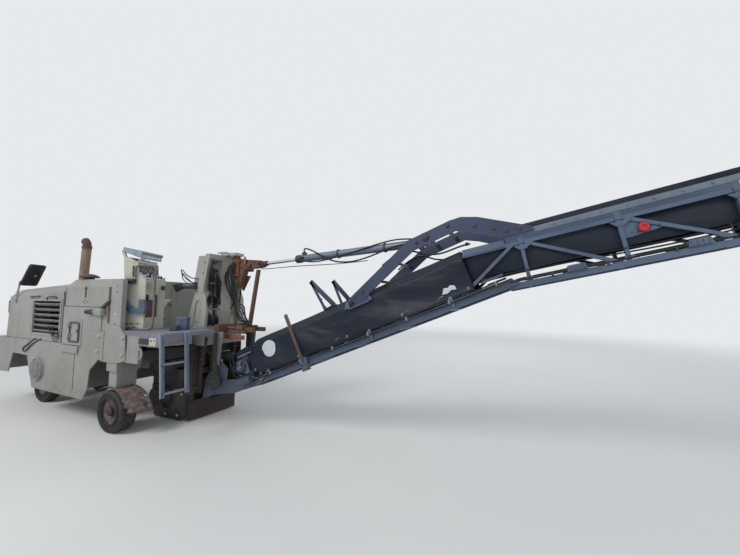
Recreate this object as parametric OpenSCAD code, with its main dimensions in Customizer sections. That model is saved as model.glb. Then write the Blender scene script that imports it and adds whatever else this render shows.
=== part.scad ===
// Cold planer: a wheeled road milling machine that loads to the rear.
// X runs to the rear, where the discharge conveyor reaches out, Y to the machine's right, Z up.
// The origin is on the ground, below the middle of the machine's box.
// Sizes are millimetres. Places along X are taken from the left rear wheel's axle.

/* [Hull] */
// Width over the hull sides
hull_w = 2000; // [1900:10:2200]
// From the rear wheel's axle to the frame's front end
front_len = 3900; // [3800:10:4200]
// Height of the frame's top edge
frame_z = 1305; // [1280:5:1400]
// Height of the skirt's lower edge
skirt_z = 430; // [400:5:520]
// Thickness of the hull plates
plate_t = 20; // [12:1:30]
// Height of the hood's side edge at its rear end
hood_h = 985; // [900:5:1100]
// Length of the hood
hood_len = 2110; // [1900:10:2200]
// Fall of the hood's top towards the front, in degrees
hood_fall = 3.4; // [1:0.1:5]
// Bevel along the hood's and the housing's upper edges
bevel = 140; // [60:5:180]
// Height of the middle housing over the frame
mid_h = 1125; // [1000:5:1250]
// Length of the middle housing
mid_len = 1330; // [1200:10:1400]
// Slats in each of the hood's grilles
grille_slats = 6; // [4:1:8]

/* [Wheels and axles] */
// Outer diameter of every tyre
tyre_d = 660; // [600:5:700]
// Width of a rear tyre
rear_tyre_w = 260; // [220:5:280]
// Width of a front tyre
front_tyre_w = 220; // [180:5:230]
// Diameter of the rims
rim_d = 400; // [340:5:430]
// From the rear axle line to the front axle
wheelbase = 2950; // [2900:10:3000]
// Distance between the king pins
kingpin_span = 720; // [680:5:760]
// How far the right rear wheel stands ahead of the left one
swing_in = 780; // [740:5:840]

/* [Milling unit] */
// Working width of the drum
drum_w = 960; // [900:10:1000]
// Diameter over the cutting tips
drum_d = 740; // [680:5:760]
// Diameter of the drum's tube
drum_tube_d = 560; // [500:5:600]
// Height of the drum's axis
drum_z = 425; // [405:5:460]
// Rows of picks round the drum
pick_rows = 24; // [12:1:36]

/* [Platform] */
// Height of the operator's deck
deck_z = 1600; // [1570:5:1650]
// Thickness of the deck
deck_t = 60; // [50:5:80]
// Rear edge of the deck behind the axle
deck_rear = 1150; // [1100:10:1200]
// Width of the ladder
ladder_w = 420; // [360:5:480]
// Height of the rear edge of the console's panel over the deck
console_h = 820; // [760:5:860]
// Width of the console
console_w = 560; // [500:5:600]
// Turn of the console towards the operator, in degrees
console_turn = 25; // [15:1:30]

/* [Conveyor] */
// Slope of the lower conveyor, in degrees
incline = 22.2; // [20:0.1:24]
// Slope lost at the bend of the conveyor, in degrees
neck = 10.2; // [6:0.1:14]
// Length of the lower conveyor, from its hinge to the bend
lower_len = 5115; // [4900:5:5300]
// Length of the upper conveyor, from the bend to its end
upper_len = 2450; // [2200:10:2600]
// Width over the conveyor's side frames
conveyor_w = 660; // [600:5:700]
// Depth of the conveyor's frame
conveyor_h = 560; // [520:5:600]
// Width of the belt
belt_w = 500; // [440:5:520]
// Height of the conveyor's hinge
hinge_z = 720; // [680:5:760]
// Slewing axis behind the rear axle
slew_x = 1080; // [1060:5:1120]
// Bore of the luffing cylinder's barrel
luff_bore = 90; // [70:5:110]
// Diameter of the luffing cylinder's rod
luff_rod_d = 60; // [45:5:65]

/* [Hidden] */
$fn = 48;

// Running clearance between sliding faces
slide_gap = 6;
// Running clearance of a pin in its bore, over the diameter
run_fit = 0.19;
// Clearance of a wear pad
pad_gap = 0.3;
pad_t = slide_gap - pad_gap;

half_w = hull_w / 2;
inner_w = half_w - plate_t;
front_x = -front_len;
mid_x0 = -mid_len - 100;
mid_x1 = mid_x0 + mid_len;
hood_x1 = mid_x0 - 15;
hood_x0 = hood_x1 - hood_len;
frame_rear = 640;

front_axle_x = -wheelbase;
axle_z = tyre_d / 2;
kingpin_y = kingpin_span / 2;
front_track_y = 500;
stub_d = 56;
leg_stub_d = 70;

function rear_wheel_y(side) = side * (half_w - rear_tyre_w / 2 - (side < 0 ? 10 : 90));
leg_w = 200;
leg_d = 310;
leg_dx = 30;
function leg_y(side) = side * (half_w - leg_d / 2 - (side < 0 ? 30 : 110));
fender_r = 355;
fender_t = 12;
leg_foot_z = axle_z + fender_r + fender_t + 20;
leg_top_z = 1380;
leg_top_right_z = 1250;
arch_z = 1127;

drum_x = 120;
shaft_d = 120;
drum_y = 445;
housing_wall = 20;
housing_gap = 20;
housing_y0 = drum_y - drum_w / 2 - housing_gap - housing_wall;
housing_y1 = drum_y + drum_w / 2 + housing_gap + housing_wall;
housing_x0 = drum_x - drum_d / 2 - 60;
housing_x1 = frame_rear - 20;
housing_top = drum_z + drum_d / 2 + 80;
housing_z0 = 130;
beam_z0 = housing_top + 60;
beam_h = 150;
beam_y = 450;
beam_w = 90;

conv_y = drum_y;
sec_bottom = -0.5625 * conveyor_h;
sec_top = sec_bottom + conveyor_h;
neck_s = lower_len;
tower_x0 = 380;
tower_x1 = 900;
tower_z = 2900;

function rot2(p, a) = [p[0] * cos(a) - p[1] * sin(a), p[0] * sin(a) + p[1] * cos(a)];
neck_xz = [slew_x, hinge_z] + rot2([neck_s, sec_bottom], incline);
tow_reach = 110;
tow_w = 110;
tip_xz = neck_xz + rot2([upper_len, 0], incline - neck);
mid_x = (front_x - tow_reach + tip_xz[0]) / 2;

// Luffing cylinder: the rod's eye on the slewing frame, the barrel's pin on the neck arms
eye_xz = [slew_x + 620, hinge_z + 2035];
eye_pin_d = 40;
eye_bore = 46;
foot_pin_d = 60;
arm_pin_d = 50;
pin_st = [4271, 701];
pin_xz = [slew_x, hinge_z] + rot2(pin_st, incline);
luff_len = norm(pin_xz - eye_xz);
luff_dir = atan2(pin_xz[1] - eye_xz[1], pin_xz[0] - eye_xz[0]);

module place() translate([-mid_x, 0, 0]) children();

// A side outline given in X and Z, as thick as t from y on
module side_plate(y, t) translate([0, y + t, 0]) rotate([90, 0, 0]) linear_extrude(t) children();

module box(x, y, z) translate([x[0], y[0], z[0]]) cube([x[1] - x[0], y[1] - y[0], z[1] - z[0]]);

module cyl_y(x, z, y, d) translate([x, y[0], z]) rotate([-90, 0, 0]) cylinder(d = d, h = y[1] - y[0]);

module cyl_shell_y(x, z, y, r, t) difference() {
    cyl_y(x, z, y, 2 * (r + t));
    cyl_y(x, z, [y[0] - 1, y[1] + 1], 2 * r);
}

// A straight bar from p to q, w wide, in a side outline
module bar(p, q, w) {
    d = q - p;
    translate(p) rotate(atan2(d[1], d[0])) translate([-w / 2, -w / 2]) square([norm(d) + w, w]);
}

module rect(x, z) translate([x[0], z[0]]) square([x[1] - x[0], z[1] - z[0]]);

module tube_between(p, q, d) {
    v = q - p;
    translate(p) rotate([0, acos(v[2] / norm(v)), atan2(v[1], v[0])]) cylinder(d = d, h = norm(v));
}

module on_conveyor() translate([slew_x, conv_y, hinge_z]) rotate([0, -incline, 0]) children();

module on_upper() on_conveyor() translate([neck_s, 0, sec_bottom]) rotate([0, neck, 0]) children();

// Hull

// Grille in each side of the hood
grille_x = [hood_x1 - 1105, hood_x1 - 165];
grille_z = [frame_z + 140, frame_z + 730];
grille_rim = 40;
disc_x = -2184;
disc_z = 800;
disc_d = 400;
disc_out = 50;
tow_bore = 50;
tow_z = 715;
tow_t = 30;
deck_bracket_x = [386, 690];

module skirt_outline() polygon([
    [front_x, frame_z], [front_x, 620], [-wheelbase - 370, 640], [-wheelbase - 230, 1020],
    [-wheelbase + 320, 1010], [-wheelbase + 580, skirt_z + 10], [-726, skirt_z],
    [-600, 620], [-565, 930], [-330, arch_z], [frame_rear, arch_z], [frame_rear, frame_z]
]);

module chassis_frame() color("#b9b7ab") {
    difference() {
        union() {
            for (side = [-1, 1])
                side_plate(side > 0 ? inner_w : -half_w, plate_t) skirt_outline();
            box([front_x, front_x + plate_t], [-inner_w, inner_w], [620, frame_z]);
            box([-2380, -2360], [-inner_w, inner_w], [skirt_z + 20, beam_z0 + beam_h]);
            box([mid_x0 + 40, mid_x0 + 60], [-inner_w, inner_w], [skirt_z + 20, frame_z]);
            box([mid_x0 - 5, frame_rear], [-inner_w, inner_w], [frame_z - plate_t, frame_z]);
            box([frame_rear - plate_t, frame_rear], [-inner_w, inner_w], [arch_z, frame_z]);
            for (side = [-1, 1])
                box([front_x + plate_t, frame_rear], [side * beam_y - beam_w / 2, side * beam_y + beam_w / 2],
                    [beam_z0, beam_z0 + beam_h]);
            box([front_axle_x - 110, front_axle_x + 110], [-beam_y, beam_y], [beam_z0, beam_z0 + beam_h]);
            for (x = [-300, 420])
                box([x, x + 100], [-beam_y, inner_w], [beam_z0, beam_z0 + beam_h]);
            box([front_x, hinge_x - 20], [-inner_w, inner_w], [frame_z - plate_t, frame_z]);
            for (side = [-1, 1]) {
                cyl_y(disc_x, disc_z, side > 0 ? [inner_w, half_w + disc_out] : [-half_w - disc_out, -inner_w], disc_d);
                hood_hinge_post(side);
            }
            tow_lug();
            side_plate(-half_w, plate_t) polygon([
                [deck_bracket_x[0], arch_z + 20], [deck_bracket_x[0], deck_z - deck_t],
                [deck_bracket_x[1], deck_z - deck_t], [deck_bracket_x[1] - 30, arch_z]
            ]);
            box([-1423, -911], [-half_w - 30, -half_w], [1170, 1290]);
        }
        for (side = [-1, 1])
            cyl_y(disc_x, disc_z, side > 0 ? [half_w + disc_out - 18, half_w + disc_out + 1]
                : [-half_w - disc_out - 1, 18 - half_w - disc_out], disc_d - 50);
        translate([front_x - tow_reach + tow_w / 2, 0, tow_z - tow_t]) cylinder(d = tow_bore, h = 2 * tow_t);
        for (side = [-1, 1])
            leg_hole(side);
    }
}

hinge_x = hood_x0 - 45;
hinge_h = frame_z + 30;

module tow_lug() translate([0, 0, tow_z - tow_t / 2]) linear_extrude(tow_t) union() {
    translate([front_x - tow_reach + tow_w / 2, 0]) circle(d = tow_w);
    translate([front_x - tow_reach + tow_w / 2, -tow_w / 2]) square([tow_reach - tow_w / 2, tow_w]);
    translate([front_x - 20, -110]) square([20, 220]);
}

// A post with the pin that the hood's lug turns on
module hood_hinge_post(side) {
    y = side * 600;
    side_plate(y - 10, 20) union() {
        translate([hinge_x, hinge_h]) circle(d = 50);
        translate([hinge_x - 25, frame_z - plate_t]) square([50, hinge_h - frame_z + plate_t]);
    }
    cyl_y(hinge_x, hinge_h, side > 0 ? [y, y + 50] : [y - 50, y], 24);
}

module hood_lug(side) difference() {
    side_plate(side > 0 ? 615 : -640, 25) union() {
        translate([hinge_x, hinge_h]) circle(d = 44);
        translate([hinge_x, hinge_h - 22]) square([hood_x0 - hinge_x + plate_t, 44]);
    }
    cyl_y(hinge_x, hinge_h, [-700, 700], 24 + run_fit);
}

function leg_x(side) = side < 0 ? leg_dx : leg_dx - swing_in;

module leg_hole(side) box([leg_x(side) - leg_w / 2 - 30, leg_x(side) + leg_w / 2 + 30],
    [leg_y(side) - leg_d / 2 - 30, leg_y(side) + leg_d / 2 + 30], [900, frame_z + 1]);

module engine_block() color("#3b3d3c")
    box([-3150, -1950], [-beam_y - 10, beam_y + 10], [beam_z0 + beam_h, beam_z0 + beam_h + 780]);

module hull_section(w, h) polygon([
    [-w / 2, 0], [-w / 2, h], [-w / 2 + bevel, h + bevel], [w / 2 - bevel, h + bevel], [w / 2, h], [w / 2, 0]
]);

// The hood's side edge is 20 mm inside the hull's side
hood_w = hull_w - 40;
hood_lean = 55;
function hood_top(x) = frame_z + (hood_h + bevel / 2) / cos(hood_fall) + (x - hood_x1) * tan(hood_fall);

module hood_solid(in) intersection() {
    translate([hood_x1 - in, 0, frame_z - in]) rotate([0, -hood_fall, 0]) translate([-2 * hood_len, 0, -600])
        rotate([90, 0, 90]) linear_extrude(3 * hood_len) hull_section(hood_w - 2 * in, hood_h + 600 - bevel / 2);
    side_plate(-half_w, hull_w) polygon([
        [hood_x0 + in, frame_z + 5 - 2 * in], [hood_x0 + hood_lean + in, frame_z + 880],
        [hood_x0 + hood_lean + in + 60, frame_z + 930 - in], [hood_x0 + 500, frame_z + 1020 - in],
        [hood_x1 - in, frame_z + 1400], [hood_x1 - in, frame_z + 5 - 2 * in]
    ]);
}

module grille_opening(side) {
    y = side * hood_w / 2;
    box(grille_x, [y - 60, y + 60], grille_z);
}

// A raised rim with slanting slats
module grille(side) {
    y = side * hood_w / 2;
    y0 = side > 0 ? y - plate_t : y - 12;
    difference() {
        box([grille_x[0] - grille_rim, grille_x[1] + grille_rim], [y0, y0 + plate_t + 12],
            [grille_z[0] - grille_rim, grille_z[1] + grille_rim]);
        grille_opening(side);
    }
    pitch = (grille_z[1] - grille_z[0]) / grille_slats;
    for (i = [0 : grille_slats - 1])
        translate([grille_x[0] - 1, y, grille_z[0] + (i + 0.55) * pitch]) rotate([side * 38, 0, 0])
            translate([0, side > 0 ? -70 : 0, -5]) cube([grille_x[1] - grille_x[0] + 2, 70, 10]);
}

module hood() color("#b9b7ab") {
    difference() {
        hood_solid(0);
        hood_solid(plate_t);
        for (side = [-1, 1])
            grille_opening(side);
    }
    for (side = [-1, 1]) {
        hood_lug(side);
        grille(side);
    }
}

module mid_housing() color("#b9b7ab") {
    mid_shell();
    hatch_hinges();
}

// The lower panel stands proud, and the hatch's rim on it
panel_out = 12;
rim_out = 8;
panel_z = frame_z + 645;
panel_x1 = mid_x1 - 200;
hatch_rim = 40;

module mid_shell() difference() {
    union() {
        translate([mid_x0, 0, frame_z]) rotate([90, 0, 90]) linear_extrude(mid_len)
            hull_section(hull_w, mid_h - bevel);
        for (y = [-half_w - panel_out, half_w])
            side_plate(y, panel_out) union() {
                rect([mid_x0, panel_x1 - 60], [frame_z, panel_z]);
                rect([mid_x0, panel_x1], [frame_z, panel_z - 60]);
                translate([panel_x1 - 60, panel_z - 60]) circle(r = 60);
            }
        box([hatch_x[0] - hatch_rim, hatch_x[1] + hatch_rim], [-half_w - panel_out - rim_out, -half_w],
            [hatch_z[0] - hatch_rim + 5, hatch_z[1] + hatch_rim]);
    }
    translate([mid_x0 + plate_t, 0, frame_z - 1]) rotate([90, 0, 90]) linear_extrude(mid_len - 2 * plate_t)
        hull_section(hull_w - 2 * plate_t, mid_h - bevel - plate_t);
    box([hatch_x[0], hatch_x[1]], [-half_w - panel_out - rim_out - 1, -inner_w + 1], hatch_z);
}

hatch_x = [-1210, -870];
hatch_z = [1340, 1700];
hatch_hinge_z = [1450, 1640];
hatch_y = -half_w - panel_out - rim_out;
hatch_pin_y = hatch_y - 13;

module hatch_hinges() for (z = hatch_hinge_z) {
    translate([hatch_x[0], hatch_pin_y, z - 60]) cylinder(d = 12, h = 90);
    translate([hatch_x[0], hatch_pin_y, z - 60]) cylinder(d = 26, h = 30);
    box([hatch_x[0] - 35, hatch_x[0]], [hatch_y - 8, hatch_y], [z - 60, z - 30]);
}

module hatch_door() color("#a9a79c") {
    difference() {
        box([hatch_x[0] + 6, hatch_x[1] - 6], [hatch_y, hatch_y + 40], [hatch_z[0] + 6, hatch_z[1] - 6]);
        box([hatch_x[0] + 40, hatch_x[1] - 40], [hatch_y - 1, hatch_y + 8], [hatch_z[0] + 40, hatch_z[1] - 40]);
    }
    for (z = hatch_hinge_z) difference() {
        union() {
            translate([hatch_x[0], hatch_pin_y, z - 30]) cylinder(d = 26, h = 60);
            box([hatch_x[0], hatch_x[0] + 60], [hatch_y - 8, hatch_y + 1], [z - 30, z + 30]);
        }
        translate([hatch_x[0], hatch_pin_y, z - 31]) cylinder(d = 12 + run_fit, h = 62);
    }
}

// Silencer on the hood, leaning back, with a bent tip
stack_xy = [-1627, -660];
stack_z = hood_top(stack_xy[0]) + 0.5;
stack_d = 320;
stack_h = 640;
stack_lean = 4;
tip_r = 120;

module exhaust_stack() color("#9a7b60")
    translate([stack_xy[0], stack_xy[1], stack_z]) rotate([0, stack_lean, 0]) {
        // Foot plate, cut to the fall of the hood
        difference() {
            translate([0, 0, -40]) cylinder(d = stack_d + 30, h = 80);
            rotate([0, -hood_fall - stack_lean, 0]) translate([-300, -300, -100]) cube([600, 600, 100]);
        }
        translate([0, 0, 20]) cylinder(d = stack_d, h = stack_h);
        translate([0, 0, stack_h]) cylinder(d1 = stack_d, d2 = 200, h = 60);
        translate([-tip_r, 0, stack_h + 50]) rotate([90, 0, 0]) rotate_extrude(angle = 70)
            translate([tip_r, 0]) difference() {
                circle(d = 190);
                circle(d = 160);
            }
    }

cap_xy = [-1150, -760];
cap_d = 560;

module intake_cap() color("#7a5a45") translate([cap_xy[0], cap_xy[1], frame_z + mid_h]) {
    cylinder(d = 200, h = 45);
    translate([0, 0, 30]) cylinder(d = cap_d, h = 20);
    translate([0, 0, 50]) cylinder(d1 = cap_d, d2 = cap_d * 0.72, h = 45);
    translate([0, 0, 95]) cylinder(d1 = cap_d * 0.72, d2 = cap_d * 0.3, h = 22);
}

// Front axle

module front_axle() color("#4a4a48") difference() {
    union() {
        box([front_axle_x - 60, front_axle_x + 60], [-kingpin_y + 40, kingpin_y - 40], [axle_z - 60, axle_z + 60]);
        box([front_axle_x - 100, front_axle_x + 100], [-150, 150], [axle_z + 60, beam_z0]);
        for (side = [-1, 1], z = [axle_z - 90, axle_z + 60])
            hull() {
                translate([front_axle_x, side * kingpin_y, z]) cylinder(d = 70, h = 30);
                box([front_axle_x - 35, front_axle_x + 35], [side * (kingpin_y - 60) - 10, side * (kingpin_y - 60) + 10],
                    [z, z + 30]);
            }
    }
    for (side = [-1, 1])
        translate([front_axle_x, side * kingpin_y, axle_z - 100]) cylinder(d = 36 + run_fit, h = 200);
}

module knuckle(side) color("#55524c") {
    translate([front_axle_x, side * kingpin_y, axle_z - 95]) cylinder(d = 36, h = 190);
    translate([front_axle_x, side * kingpin_y, axle_z - 59]) cylinder(d = 72, h = 118);
    cyl_y(front_axle_x, axle_z, side > 0 ? [kingpin_y, front_track_y + 60] : [-front_track_y - 60, -kingpin_y], stub_d);
}

module wheel(w, bore, side) {
    rotate([-side * 90, 0, 0]) rotate_extrude() {
        translate([rim_d / 2, -w / 2 + 20]) square([14, w - 40]);
        polygon([
            [bore / 2, w * 0.1], [bore / 2 + 35, w * 0.1], [rim_d / 2 - 40, w * 0.28], [rim_d / 2 + 1, w * 0.28],
            [rim_d / 2 + 1, w * 0.28 + 16], [rim_d / 2 - 46, w * 0.28 + 16], [bore / 2 + 30, w * 0.1 + 18],
            [bore / 2 + 30, w * 0.1 + 60], [bore / 2, w * 0.1 + 60]
        ]);
        translate([bore / 2, w * 0.1 - 60]) square([25, 61]);
        polygon([
            [rim_d / 2 + 12, -w / 2 + 10], [tyre_d / 2 - 50, -w / 2], [tyre_d / 2 - 12, -w / 2 + 12],
            [tyre_d / 2, -w / 2 + 40], [tyre_d / 2, w / 2 - 40], [tyre_d / 2 - 12, w / 2 - 12],
            [tyre_d / 2 - 50, w / 2], [rim_d / 2 + 12, w / 2 - 10]
        ]);
    }
}

module front_wheel(side) color("#26282b")
    translate([front_axle_x, side * front_track_y, axle_z]) wheel(front_tyre_w, stub_d + run_fit, side);

module rear_wheel(side) color("#26282b")
    translate([leg_x(side) - leg_dx, rear_wheel_y(side), axle_z]) wheel(rear_tyre_w, leg_stub_d + run_fit, side);

// Rear legs

guide_z0 = 960;
column_x = [-92, 190];
column_top = 2410;
column_z = 1692;
column_d = 70;

// Bracket plate on the outside of the left guide
module guide_plate() side_plate(-half_w - 14, 14) polygon([
    [-187, 1095], [-187, column_z - 5], [156, column_z - 5], [211, column_z - 40], [349, 1538], [380, 1155],
    [300, 1130], [leg_w / 2 + 60, 1095]
]);

module leg_guide(side) color("#b9b7ab") {
    x = leg_x(side);
    z1 = side < 0 ? deck_z - deck_t : frame_z;
    y = leg_y(side);
    if (side < 0) guide_plate();
    difference() {
        box([x - leg_w / 2 - 30, x + leg_w / 2 + 30], [y - leg_d / 2 - 30, y + leg_d / 2 + 30], [guide_z0, z1]);
        box([x - leg_w / 2 - slide_gap, x + leg_w / 2 + slide_gap],
            [y - leg_d / 2 - slide_gap, y + leg_d / 2 + slide_gap], [900, z1 + 1]);
    }
    // Wear pads
    for (px = [x - leg_w / 2 - slide_gap, x + leg_w / 2 + pad_gap], z = [970, 1190])
        box([px, px + pad_t], [y - 60, y + 60], [z, z + 50]);
    for (py = [y - leg_d / 2 - slide_gap, y + leg_d / 2 + pad_gap], z = [970, 1190])
        box([x - 40, x + 40], [py, py + pad_t], [z, z + 50]);
}

module leg_column() color("#8f8f8a") difference() {
    box(column_x, [-half_w, column_d - half_w], [deck_z - deck_t, column_top]);
    box([column_x[0] + 15, column_x[1] - 15], [15 - half_w, column_d - half_w + 1], [deck_z - deck_t - 1, column_top - 15]);
}

module leg(side) color("#9a978c") {
    x = leg_x(side);
    wy = rear_wheel_y(side);
    yi = wy - side * (rear_tyre_w / 2 + 30);
    box([x - leg_w / 2, x + leg_w / 2], [leg_y(side) - leg_d / 2, leg_y(side) + leg_d / 2],
        [leg_foot_z, side < 0 ? leg_top_z : leg_top_right_z]);
    box([x - leg_w / 2, x + leg_w / 2], [yi - 15, yi + 15], [axle_z + 20, leg_foot_z]);
    cyl_y(x - leg_dx, axle_z, [yi - 15, yi + 15], 140);
    cyl_y(x - leg_dx, axle_z, side > 0 ? [yi, wy + 75] : [wy - 75, yi], leg_stub_d);
}

module fender(side) color("#7b5a45") {
    x = leg_x(side) - leg_dx;
    y = rear_wheel_y(side);
    intersection() {
        cyl_shell_y(x, axle_z, [y - 145, y + 145], fender_r, fender_t);
        box([x - 320, x + 400], [y - 200, y + 200], [axle_z + 180, axle_z + 500]);
    }
    difference() {
        box([x - 60, x + 60], [y - 100, y + 100], [axle_z + fender_r, leg_foot_z]);
        cyl_y(x, axle_z, [y - 101, y + 101], 2 * fender_r + fender_t);
    }
}

// Milling unit

module drum_housing() color("#5b5a55") {
    housing_shell();
    housing_pads();
}

module housing_shell() difference() {
    union() {
        box([housing_x0, housing_x1], [housing_y0, housing_y1], [housing_z0, housing_top]);
        for (x = [-300, 420], y = [0, 420, 840])
            box([x, x + 100], [y, y + 100], [housing_top, beam_z0]);
    }
    box([housing_x0 + housing_wall, housing_x1 - housing_wall],
        [housing_y0 + housing_wall, housing_y1 - housing_wall], [housing_z0 - 1, housing_top - housing_wall]);
    box([housing_x1 - 100, housing_x1 + 1], [conv_y - 400, conv_y + 400], [housing_z0 - 1, housing_top - 100]);
    cyl_y(drum_x, drum_z, [housing_y0 - 1, housing_y1 + 1], shaft_d + run_fit);
}

module housing_pads() {
    for (x = [housing_x0 + 60, housing_x1 - 150], y = [housing_y0 - pad_t, housing_y1])
        box([x, x + 60], [y, y + pad_t], [300, 480]);
    for (y = [housing_y0, housing_y1 - housing_wall])
        box([housing_x1, housing_x1 + pad_t], [y, y + housing_wall], [150, 320]);
}

module milling_drum() color("#4a3b31") {
    cyl_y(drum_x, drum_z, [drum_y - drum_w / 2, drum_y + drum_w / 2], drum_tube_d);
    cyl_y(drum_x, drum_z, [housing_y0 + 1, housing_y1], shaft_d);
    // Two helices of picks that meet in the middle
    for (i = [0 : pick_rows - 1], start = [0, 180])
        let (pitch = (drum_w - 60) / pick_rows, from_mid = abs(i + 0.5 - pick_rows / 2))
            translate([drum_x, drum_y - drum_w / 2 + 30 + (i + 0.5) * pitch, drum_z])
                rotate([0, start + from_mid * 30, 0]) pick();
}

pick_lean = 40;
holder_h = 50;

module pick() translate([drum_tube_d / 2 - 15, 0, 0]) {
    translate([0, -17, -30]) cube([holder_h, 34, 60]);
    translate([holder_h - 15, 0, 0]) rotate([0, 90 - pick_lean, 0]) {
        cylinder(d = 30, h = 35);
        translate([0, 0, 35]) cylinder(d1 = 26, d2 = 8, h = pick_len - 35);
    }
}

// So long that the tips run on the drum's outer diameter
pick_len = ((drum_d - drum_tube_d) / 2 + 15 - (holder_h - 15)) / cos(pick_lean);

module drum_drive() color("#4c4f4e") {
    cyl_y(drum_x, drum_z, [housing_y0 - 60, housing_y0], 170);
    cyl_y(drum_x, drum_z, [housing_y0 - 260, housing_y0 - 60], 300);
}

guard_z0 = 20;
guard_t = 20;

module guard(side) color("#4c4f4e") {
    y = side > 0 ? housing_y1 + slide_gap : housing_y0 - slide_gap - guard_t;
    x0 = housing_x0 + 20;
    x1 = housing_x1 - 10;
    side_plate(y, guard_t) difference() {
        polygon([
            [x0, 560], [x0, guard_z0 + 110], [x0 + 40, guard_z0 + 40], [x0 + 120, guard_z0], [x1 - 120, guard_z0],
            [x1 - 40, guard_z0 + 40], [x1, guard_z0 + 110], [x1, 560]
        ]);
        rect([drum_x - 100, drum_x + 100], [drum_z - 240, 561]);
    }
    // Runner
    box([x0 + 110, x1 - 110], [side > 0 ? y : y - 15, side > 0 ? y + guard_t + 15 : y + guard_t], [guard_z0, guard_z0 + 40]);
}

mold_x = housing_x1 + slide_gap;
mold_top = 350;

module moldboard() color("#4a3b31") {
    side_plate(housing_y0, housing_y1 - housing_y0) polygon([
        [mold_x, guard_z0 + 20], [mold_x + 14, guard_z0], [mold_x + 30, guard_z0], [mold_x + 24, guard_z0 + 60],
        [mold_x + 24, mold_top - 30], [mold_x + 32, mold_top - 20], [mold_x + 32, mold_top], [mold_x, mold_top]
    ]);
    for (y = [housing_y0, drum_y - 10, housing_y1 - 20])
        side_plate(y, 20) polygon([
            [mold_x + 20, guard_z0 + 70], [mold_x + 30, mold_top - 60], [mold_x + 30, mold_top - 10],
            [mold_x + 20, mold_top - 10]
        ]);
}

column_z0 = 480;
column_depth = 110;
columns_y = [[-130, 90], [800, 980]];
chute_plate = [[330, 590], [820, frame_z]];

// Channels that open to the rear, and a plate between them
module rear_columns() color("#6b5548") {
    for (c = columns_y) {
        box([frame_rear, frame_rear + 20], c, [column_z0, frame_z]);
        for (y = [c[0], c[1] - 20])
            box([frame_rear, frame_rear + column_depth], [y, y + 20], [column_z0, frame_z]);
        for (z = [column_z0 + 90, frame_z - 120])
            box([frame_rear, frame_rear + column_depth - 30], c, [z, z + 20]);
    }
    box([frame_rear, frame_rear + 16], chute_plate[0], chute_plate[1]);
}

// Platform

deck_y1 = -30;

module deck() color("#77736a") {
    difference() {
        union() {
            box([column_x[1] + 10, deck_rear], [-half_w, deck_y1], [deck_z - deck_t, deck_z]);
            box([mid_x1, column_x[1] + 11], [column_d + 5 - half_w, deck_y1], [deck_z - deck_t, deck_z]);
        }
        box([leg_w + 20, deck_rear - 20], [-inner_w, deck_y1 - 20], [deck_z - deck_t - 1, deck_z - 12]);
    }
    for (x = [400, 580], y = [-inner_w, -120])
        box([x, x + 40], [y, y + 60], [frame_z, deck_z - 12]);
}

ladder_lean = 5;
ladder_y0 = -980;
rung_z = [745, 1155];

// Leans out towards its foot
module ladder() color("#8f9190")
    translate([deck_rear + deck_t * tan(ladder_lean) + 0.3, ladder_y0, deck_z - deck_t]) rotate([0, -ladder_lean, 0]) {
        for (y = [0, ladder_w - 40])
            translate([0, y, 690 - deck_z + deck_t]) cube([25, 40, deck_z - 690]);
        for (z = rung_z)
            translate([-15, 20, z - deck_z + deck_t - 15]) cube([55, ladder_w - 40, 30]);
    }

console_xy = [335, -735];
console_t = 15;

module on_console() translate([console_xy[0], console_xy[1], deck_z]) rotate([0, 0, console_turn]) children();

// Side of the console, from its rear lower edge, with a wall's thickness taken off as in
module console_outline(in) {
    cut = in > 0 ? 1 : 0;
    polygon([
        [in - 315, in], [-in, in], [-in, console_h - in * 0.7], [-130 - in * 0.4, console_h + 103 - in * 1.5],
        [-142 - in, console_h + 278 - in], [-310, console_h + 366 - 1.3 * in], [in - 376, console_h + 340 - in],
        [in - 325, console_h * 0.59]
    ]);
}

opening_v = [25, 350];
opening_h = [200, 575];
tray_z = [350, 510];

module console() color("#cfc39b") on_console() {
    difference() {
        side_plate(0, console_w) console_outline(0);
        side_plate(console_t, console_w - 2 * console_t) console_outline(console_t);
        box([-console_t - 1, 1], opening_v, opening_h);
        // It stands against the housing
        rotate([0, 0, -console_turn]) translate([-1000 - console_xy[0] + mid_x1, -half_w - console_xy[1], -1])
            cube([1000, hull_w, frame_z + mid_h + 2 - deck_z]);
    }
    // Glare strip behind the instruments, and the lid's arms
    box([-160, -145], [30, console_w - 30], [console_h + 250, console_h + 330]);
    for (v = [40, console_w - 70])
        difference() {
            side_plate(v, 30) union() {
                bar([-360, console_h + 300], lid_hinge, 40);
                translate(lid_hinge) circle(d = 50);
            }
            cyl_y(lid_hinge[0], lid_hinge[1], [v - 1, v + 31], lid_pin_d + run_fit);
        }
    // Pointed tray on the right
    translate([-20, 0, 0]) rotate([90, 0, 90]) linear_extrude(20) polygon([
        [console_w - 10, tray_z[1]], [console_w + 230, tray_z[1]], [console_w - 10, tray_z[0]]
    ]);
    box([-90, -20], [console_w - 1, console_w + 180], [tray_z[1] - 12, tray_z[1]]);
}

lid_hinge = [-425, console_h + 460];
lid_pin_d = 16;
lid_len = 310;
lid_fall = 11;

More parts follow.
